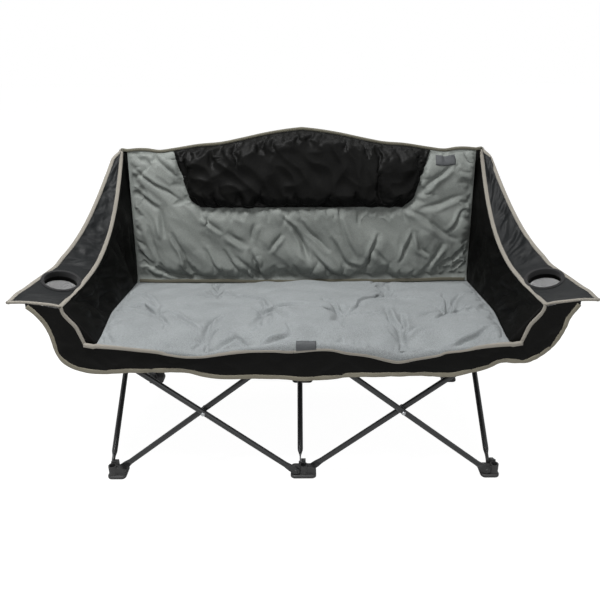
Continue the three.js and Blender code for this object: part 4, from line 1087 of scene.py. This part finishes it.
# %% The head pillow
share, rise = shares(104, -1), shares(40).T
head_x = share * head_half(mix(HEAD_LOW, HEAD_TOP, rise))
head_z = mix(HEAD_LOW, back_top(head_x) - 5, rise)
head_behind = stack(head_x, back_front(head_x, head_z) - 0.5, head_z)
head_face = head_behind - stack(0, 4 + 18 * (1 - share ** 12) * (1 - (2 * rise - 1) ** 12), 0)
head_face = finer(inflate(head_face, rim(head_face, 1, 1, 1), 3.0, 0.1, 12, seed=7.0))
relief = crumples(head_face[..., 0], head_face[..., 2], (6.0, 46, -0.7, 1.8, 43.0, True),
                  (7.0, 70, 0.9, 1.5, 45.0, True))
head_face = creased(head_face, relief, rim(head_face, 4, 3, 8))
cushion("head_pillow_cloth", head_face, finer(head_behind), black_cloth, BEHIND[0], "cloth", "middle",
        "head_panel")
print("head pillow:", head_face.shape)

# %% Tapes of the back
top_path = with_corners(stack(back_x[0], 549.0, back_top(back_x[0])),
                        [(581, 573, 841), (578, 566, 843), (571, 557, 844), (564, 551, 844)])
bind("back_top_tape", top_path, (0, 0, -1), (0, 1, 0), 9, 15, 3.5, olive_tape, *BEHIND)
crease_x = np.linspace(-546, 546, 200)
ripple = 1.2 * np.sin(crease_x / 61) + 0.8 * np.sin(crease_x / 23)
crease_path = stack(crease_x, 487.0, 426.0 - 5.0 * (1 - (crease_x / 546) ** 2) + ripple)
bind("crease_tape", crease_path, (0, -0.1, -1), (0, 1, -0.1), 11, 3, 1.5, olive_tape, *BEHIND)
print("back tapes: 2")

# %% [markdown]
# ## Arm rests and side panels
# Each arm rest is a band of cloth that rises from the end of its arm tube to the top of the back and narrows on the
# way. A panel hangs from the band's inner edge down to the seat. Both are double cloth, hemmed with ribbed tape.

# %% Where the arm rests run
ARM_FRONT, CUP_PLACE = -18.6, 0.235


def arm_inner(side, t):
    return stack(side * mix(612.0, 571.0, t), mix(ARM_FRONT, 556.0, t), mix(546.0, 838.0, t ** 3.3))


def arm_outer(side, t):
    bow = 15 * smooth(0.4, 0.92, t) - 20 * smooth(0.94, 1, t) ** 2
    return stack(side * (mix(750.0, 586.0, t) + bow), mix(ARM_FRONT, 574.0, t), mix(568.0, 842.0, t ** 2.3))


def arm_band(side, t, across):
    """The arm rest's middle surface. Its front corner droops a little past the end of its tube."""
    t, across = np.broadcast_arrays(t, across)
    inner = arm_inner(side, t) + (side * 3.6, 0, 0)
    band = mix(inner, arm_outer(side, t), across[..., None])
    droop = through([(0, 0), (0.17, 2), (0.5, 0), (0.7, -2), (1, -9)], across)
    band[..., 2] += droop * (1 - smooth(0, 0.07, t))
    return band


def cup_seat(side):
    """The cup's centre on the arm rest and the way out of it."""
    step = 0.001
    along = arm_band(side, CUP_PLACE + step, 0.5) - arm_band(side, CUP_PLACE - step, 0.5)
    over = arm_band(side, CUP_PLACE, 0.5 + step) - arm_band(side, CUP_PLACE, 0.5 - step)
    normal = unit(np.cross(along, over))
    return arm_band(side, CUP_PLACE, 0.5), normal * np.sign(normal[2])


print("the right cup is at", cup_seat(1)[0].round(1))

# %% Side panels
SEAM = [(441, 566), (472, 575), (494, 583), (514, 598), (531, 609), (546, 612)]


def side_panel(side):
    """The panel as a grid: its first columns lie against the valance, its last ones run back beside the pad."""
    t = np.concatenate([[0, 0.0025, 0.005, 0.0075], np.linspace(0.01, 1, 104), np.ones(4)])[None]
    beyond = np.concatenate([np.zeros(108), [0.25, 0.5, 0.75, 1]])[None]
    rise = shares(56).T
    y = mix(-20.6, 500.0, t)
    low_x, top = seat_half(y) + 1.6, arm_inner(side, t)
    front = 1 - smooth(0, 0.0075, t)
    low_z = sling_z(seat_half(y), y) + mix(mix(2.5, -8.0, front), -3.0, smooth(14, 90, y))
    grid = mix(stack(side * low_x, y, low_z), top, rise[..., None])
    reach = rise ** mix(1, 5, smooth(0.5, 1, t))
    bow = 10 * np.sin(np.pi * t) * np.sin(np.pi * rise)
    u, v = np.broadcast_arrays(t * 590, rise * 250)
    free = smooth(0, 0.2, rise) * smooth(0, 0.12, 1 - rise) * smooth(0, 0.15, 1 - t) * smooth(0, 0.2, t)
    pull = crumples(u, v, (12, 55, -1.0, 2.6, 5.0 + side), (7, 40, -0.8, 2.2, 9.0 + side, True))
    across = mix(low_x, side * top[..., 0], reach) + bow + free * pull
    across = mix(across, through(SEAM, grid[..., 2]), front)
    grid[..., 0] = side * mix(across, 557.4, beyond)
    grid[..., 1] = mix(grid[..., 1], mix(512.0, 556.2, smooth(0, 0.15, rise)), beyond)
    return grid


seam_z = np.linspace(441, 547, 60)
for name, side in SIDES.items():
    body = f"{name}_side_tube_forward"
    hang(f"{name}_side_panel_cloth", side_panel(side), 2.2, black_cloth, body, "panel", f"{name}_side_panel",
         held="hung", rests_on=[f"{name}_arm_rest"])
    inward = unit(stack(-side * 1.0, 0.0, mix(0.25, 0.9, smooth(441, 546, seam_z))))
    path = stack(side * through(SEAM, seam_z), -23.6, seam_z)
    bind(f"{name}_panel_front_tape", path, inward, (0, -1, 0), 10, 4.6, 5, taupe_tape, body, "panel")


# %% Arm rests
ARM_TAPES = [("inner", "first_column", taupe_tape, 12, 5.0), ("outer", "last_column", taupe_tape, 11, 1.6),
             ("front", "first_row", taupe_tape, 8, 1.6), ("rear", "last_row", olive_tape, 10, 1.6)]


def arm_rest(side, plain, across, t):
    """The arm rest's cloth: the plain band, flat around the cup and creased elsewhere."""
    centre, normal = cup_seat(side)
    offset = plain - centre
    flatness = 1 - smooth(66.5, 106.5, np.linalg.norm(offset, axis=-1))
    grid = plain - normal * ((offset @ normal) * flatness)[..., None]
    u, v = np.broadcast_arrays(across * 130, t * 690)
    free = np.sin(np.pi * across) * np.minimum(1, 6 * t) * (1 - flatness)
    pull = crumples(u, v, (7, 34, 0.5 * side, 2.2, 11.0 + side), (5, 26, 0.4 * side, 2.6, 14.0 + side, True))
    way = normals_of(grid)
    return grid + way * np.sign(way[..., 2:3]) * (free * (pull - 3.0))[..., None]


for name, side in SIDES.items():
    across, t = shares(34), shares(120).T
    plain = arm_band(side, t, across)
    grid = arm_rest(side, plain, across, t)
    body = f"{name}_arm_tube"
    rest = sheet_of(f"{name}_arm_rest_cloth", grid, 4.6, levels=1)
    punch = fresh("cylinder", vertices=64, radius=45.7 * MM, depth=0.06)
    punch.data.transform(aim(*cup_seat(side), (0, 1, 0)))
    use_modifier(rest, "BOOLEAN", operation="DIFFERENCE", object=punch, solver="EXACT")
    bpy.data.objects.remove(punch)
    dress(rest, arm_cloth, body, "cloth", name, f"{name}_arm_rest")
    for edge, line, finish, width, overhang in ARM_TAPES:
        path, inward, normal = edge_of(grid, line)
        if edge != "front":
            inward, normal = edge_of(plain, line)[1:]
        bind(f"{name}_arm_{edge}_tape", path, inward, normal, width, 7.0, overhang, finish, body, name)
print("arm rests: 2")

# %% [markdown]
# ## Cup holders
# A soft ring is sewn in to a round hole of the arm rest. Below it hangs a short band of black cloth, and from that a
# bag of open net, through which the light of the floor shows.

# %% Rings, bands and nets
CUP_PARTS = [
    ("ring", 50, ring_cloth, "binding", ["cup_rim"], [
        (44, -12), (45.2, -12), (45.2, 2.7), (51.6, 2.7), (52.3, 3.0), (52.2, 3.7), (50.6, 4.2), (46.5, 4.5),
        (44.6, 4.2), (44, 3.2), (44, -12)]),
    ("band", 60, black_cloth, "cloth", ["cup_pouch"], [
        (45.4, -26), (46.3, -25.6), (46.8, -12), (47.0, -3), (45.7, -3), (45.4, -12), (45.0, -26), (45.4, -26)]),
    ("net", 60, net, "cloth", [], [
        (45.2, -25), (44.4, -45), (43.2, -70), (42.0, -93), (40, -95.2), (30, -95.2), (15, -95.2), (0, -95.2)])]
for name, side in SIDES.items():
    for part, angle, finish, slot, nodes, profile in CUP_PARTS:
        piece = turned(f"{name}_cup_{part}", profile, sides=64)
        piece.data.transform(aim(*cup_seat(side), (0, 1, 0)))
        smooth_shade(piece, angle)
        dress(piece, finish, f"{name}_arm_tube", slot, name, *(f"{name}_{node}" for node in nodes))
print("cup holders: 2")

# %% [markdown]
# ## The front valance
# A skirt of single cloth hangs behind the seat's lip and in front of the crosses, from one arm's end to the other.
# Its lower part falls in loose folds, and a taped hem runs along its whole outline.

# %% The valance
VALANCE_HALF, UNDER_SEAT, ARM_INNER = 702.0, 534, 612
HEM_DROPS = [(-1, -105), (-0.962, -79), (-0.929, -32), (-0.915, 21), (-0.876, 57), (-0.817, 76), (-0.751, 84),
             (-0.697, 82), (-0.591, 76), (-0.506, 78), (-0.433, 82), (-0.38, 92), (-0.275, 98), (-0.17, 100),
             (-0.05, 102), (0.019, 104), (0.135, 100), (0.172, 96), (0.246, 92), (0.427, 94), (0.548, 94),
             (0.611, 86), (0.688, 74), (0.738, 56), (0.795, 55), (0.845, 50), (0.922, 10), (0.953, -27),
             (0.968, -65), (1, -105)]


def valance_top(x):
    """The valance's upper edge: under the seat, up the panel's seam, and along under the arm rest."""
    reach = np.abs(x)
    rising = np.interp(reach, [UNDER_SEAT] + [place for _, place in SEAM], [438] + [height - 2 for height, _ in SEAM])
    beyond = 543.5 + 22 * (reach - ARM_INNER) / (750 - ARM_INNER)
    return np.where(reach <= UNDER_SEAT, sling_z(x, -18) - 4,
                    np.where(reach <= ARM_INNER, np.minimum(rising, 543.0), beyond))


def valance_grid(columns=340, rows=34):
    """The valance as a grid whose columns are evenly spaced along its hem."""
    fine = np.linspace(-VALANCE_HALF, VALANCE_HALF, 4000)
    steps = np.hypot(np.diff(fine), np.diff(through(HEM_DROPS, fine / VALANCE_HALF)))
    passed = np.insert(np.cumsum(steps), 0, 0)
    x = np.interp(np.linspace(0, passed[-1], columns), passed, fine)[None]
    v = np.concatenate([np.linspace(0, 0.8, rows - 6, endpoint=False), np.linspace(0.8, 1, 6)])[:, None]
    hem, top = SLING_HIGH - through(HEM_DROPS, x / VALANCE_HALF), valance_top(x)
    flat = mix(-23.6, -20.4, smooth(620, 660, np.abs(x)))
    cover = np.minimum(np.where(np.abs(x) < UNDER_SEAT, lip_z(np.clip(x, -UNDER_SEAT, UNDER_SEAT)), top), top) - 2
    free, hidden = np.minimum(v / 0.8, 1), np.maximum((v - 0.8) / 0.2, 0)
    z = np.where(v < 0.8, mix(hem, cover, free), mix(cover, top, hidden))
    loose = (1 - free ** 2) * smooth(0, 40, cover - hem)
    fold = 3.0 * (1 - np.cos(2 * np.pi * 7 * (x + VALANCE_HALF) / (2 * VALANCE_HALF)))
    ripple = crumples(x + 0 * z, z, (7, 48, 0.5, 2.4, 21.0), (3, 34, -0.4, 2.6, 23.0, True))
    return stack(x, flat - fold * loose - np.abs(ripple) * loose, z)


grid = valance_grid()
IN_FRONT = ("front_centre_hub", "middle")
hang("front_valance_cloth", grid, 2.0, black_cloth, *IN_FRONT, "front_valance",
     held="hung", rests_on=["front_centre_hub"])
way = unit(np.gradient(grid[0], axis=0) * (1, 0, 1))
inner = grid[4] - grid[0]
lean = np.convolve(np.pad(inner[:, 1] / np.linalg.norm(inner, axis=-1), 5, mode="edge"), np.ones(11) / 11, "valid")
inward = unit(stack(-way[:, 2], lean, way[:, 0]))
bind("valance_hem_tape", grid[0], inward, unit(np.cross(inward, way)), 13, 5.2, 2.5, hem_finish, *IN_FRONT)

# %% [markdown]
# ## Behind the back
# The uprights end in cloth sleeves on the back's lining, closed at the top, so that the back can be pulled off them.

# %% Sleeves over the uprights
def sleeve(x, top):
    """A cloth sleeve as a grid: around it in columns, from its mouth up and over its roof in rows."""
    turn = np.linspace(0, np.pi, 25)
    wide, deep = 11.2 * np.sign(np.cos(turn)) * np.abs(np.cos(turn)) ** 0.5, 19.2 * np.abs(np.sin(turn)) ** 0.5
    rings = [(1, drop) for drop in (-72, -66, -50, -30, -12, -2, 1.2)] + [(0.86, 2.2), (0.5, 2.2), (0.05, 2.2)]
    return np.array([stack(x + wide * share, 557.0 + deep * share, top + 4.4 + drop) for share, drop in rings])


for name, x in STATIONS.items():
    node = f"{name}_back_pocket"
    grid = sleeve(x, UPRIGHT_TOPS[name])
    dress(sheet_of(node + "_cloth", grid, 1.6), black_cloth, BODY_OF[node], "cloth", None, node)
    bind(node + "_tape", *edge_of(grid, "first_row"), 9, 3.4, 1.5, grey_tape, BODY_OF[node], None)
print("sleeves: 3")

# %% [markdown]
# ## Two plain patches
# A small woven patch lies on the seat's front edge and another at the back's upper corner. Both are left blank.

# %% Patches on the seat and the back
def nearest(line, place):
    return int(np.abs(line - place).argmin())


def plain_patch(name, surface, row, column, height, width, body, fold):
    """A patch that covers a few of a face's rows and columns."""
    grid = surface[row:row + height, column:column + width]
    dress(sheet_of(name, grid + normals_of(grid) * 1.3, 1.6), patch, body, "cloth", fold)


plain_patch("seat_patch", pad_top, 9, nearest(pad_top[14, :, 0], -19), 15, 15, STRIP_BODIES[2], "seat")
column = nearest(back_face[100, :, 0], 424)
plain_patch("back_patch", back_face, nearest(back_face[:, column, 2], 797), column, 10, 17, *BEHIND)
print("patches: 2")

# %% [markdown]
# ## The floor and the white around
# The floor takes a soft shadow and glows for the camera, so that it runs over into the white around it. Reflections
# see the same white as the camera, but it lights the chair at only a fifth of that strength and leaves the shadows to
# the lamps. A bent backdrop would do the same, but it would have to be larger than the camera's view from any side.

# %% The floor
WHITE = (1, 1, 1, 1)
floor_plane = fresh("plane", size=30, location=(0, 0, -0.0005))
floor_plane.name = "pale_floor"
pale = Finish("pale_floor", roughness=0.9, specular_ior_level=0.2)
pale.tint(pale.grain(pale.place(), 3.0), (236, 236, 235), (242, 242, 241))
glow = pale.node("ShaderNodeEmission", values={"Color": WHITE, "Strength": 1.2})
seen = pale.node("ShaderNodeLightPath", output="Is Camera Ray") * 0.8
pale.blend(seen, Flow(pale, pale.surface.outputs[0]), glow, "OUTPUT_MATERIAL")
floor_plane.data.materials.append(pale.material)
print("materials:", len(bpy.data.materials))

# %% The white around
scene.world = scene.world or bpy.data.worlds.new("studio")
sky = Tree(scene.world)
dim = sky.first("BACKGROUND")
dim.inputs["Color"].default_value = WHITE
dim.inputs["Strength"].default_value = 0.2
white = sky.node("ShaderNodeBackground", values={"Color": WHITE})
camera_ray, glossy_ray = (sky.node("ShaderNodeLightPath", output=f"Is {kind} Ray") for kind in ("Camera", "Glossy"))
sky.blend(camera_ray.maths("MAXIMUM", glossy_ray), Flow(sky, dim.outputs[0]), white, "OUTPUT_WORLD")
print("nodes of the world:", len(sky.nodes))
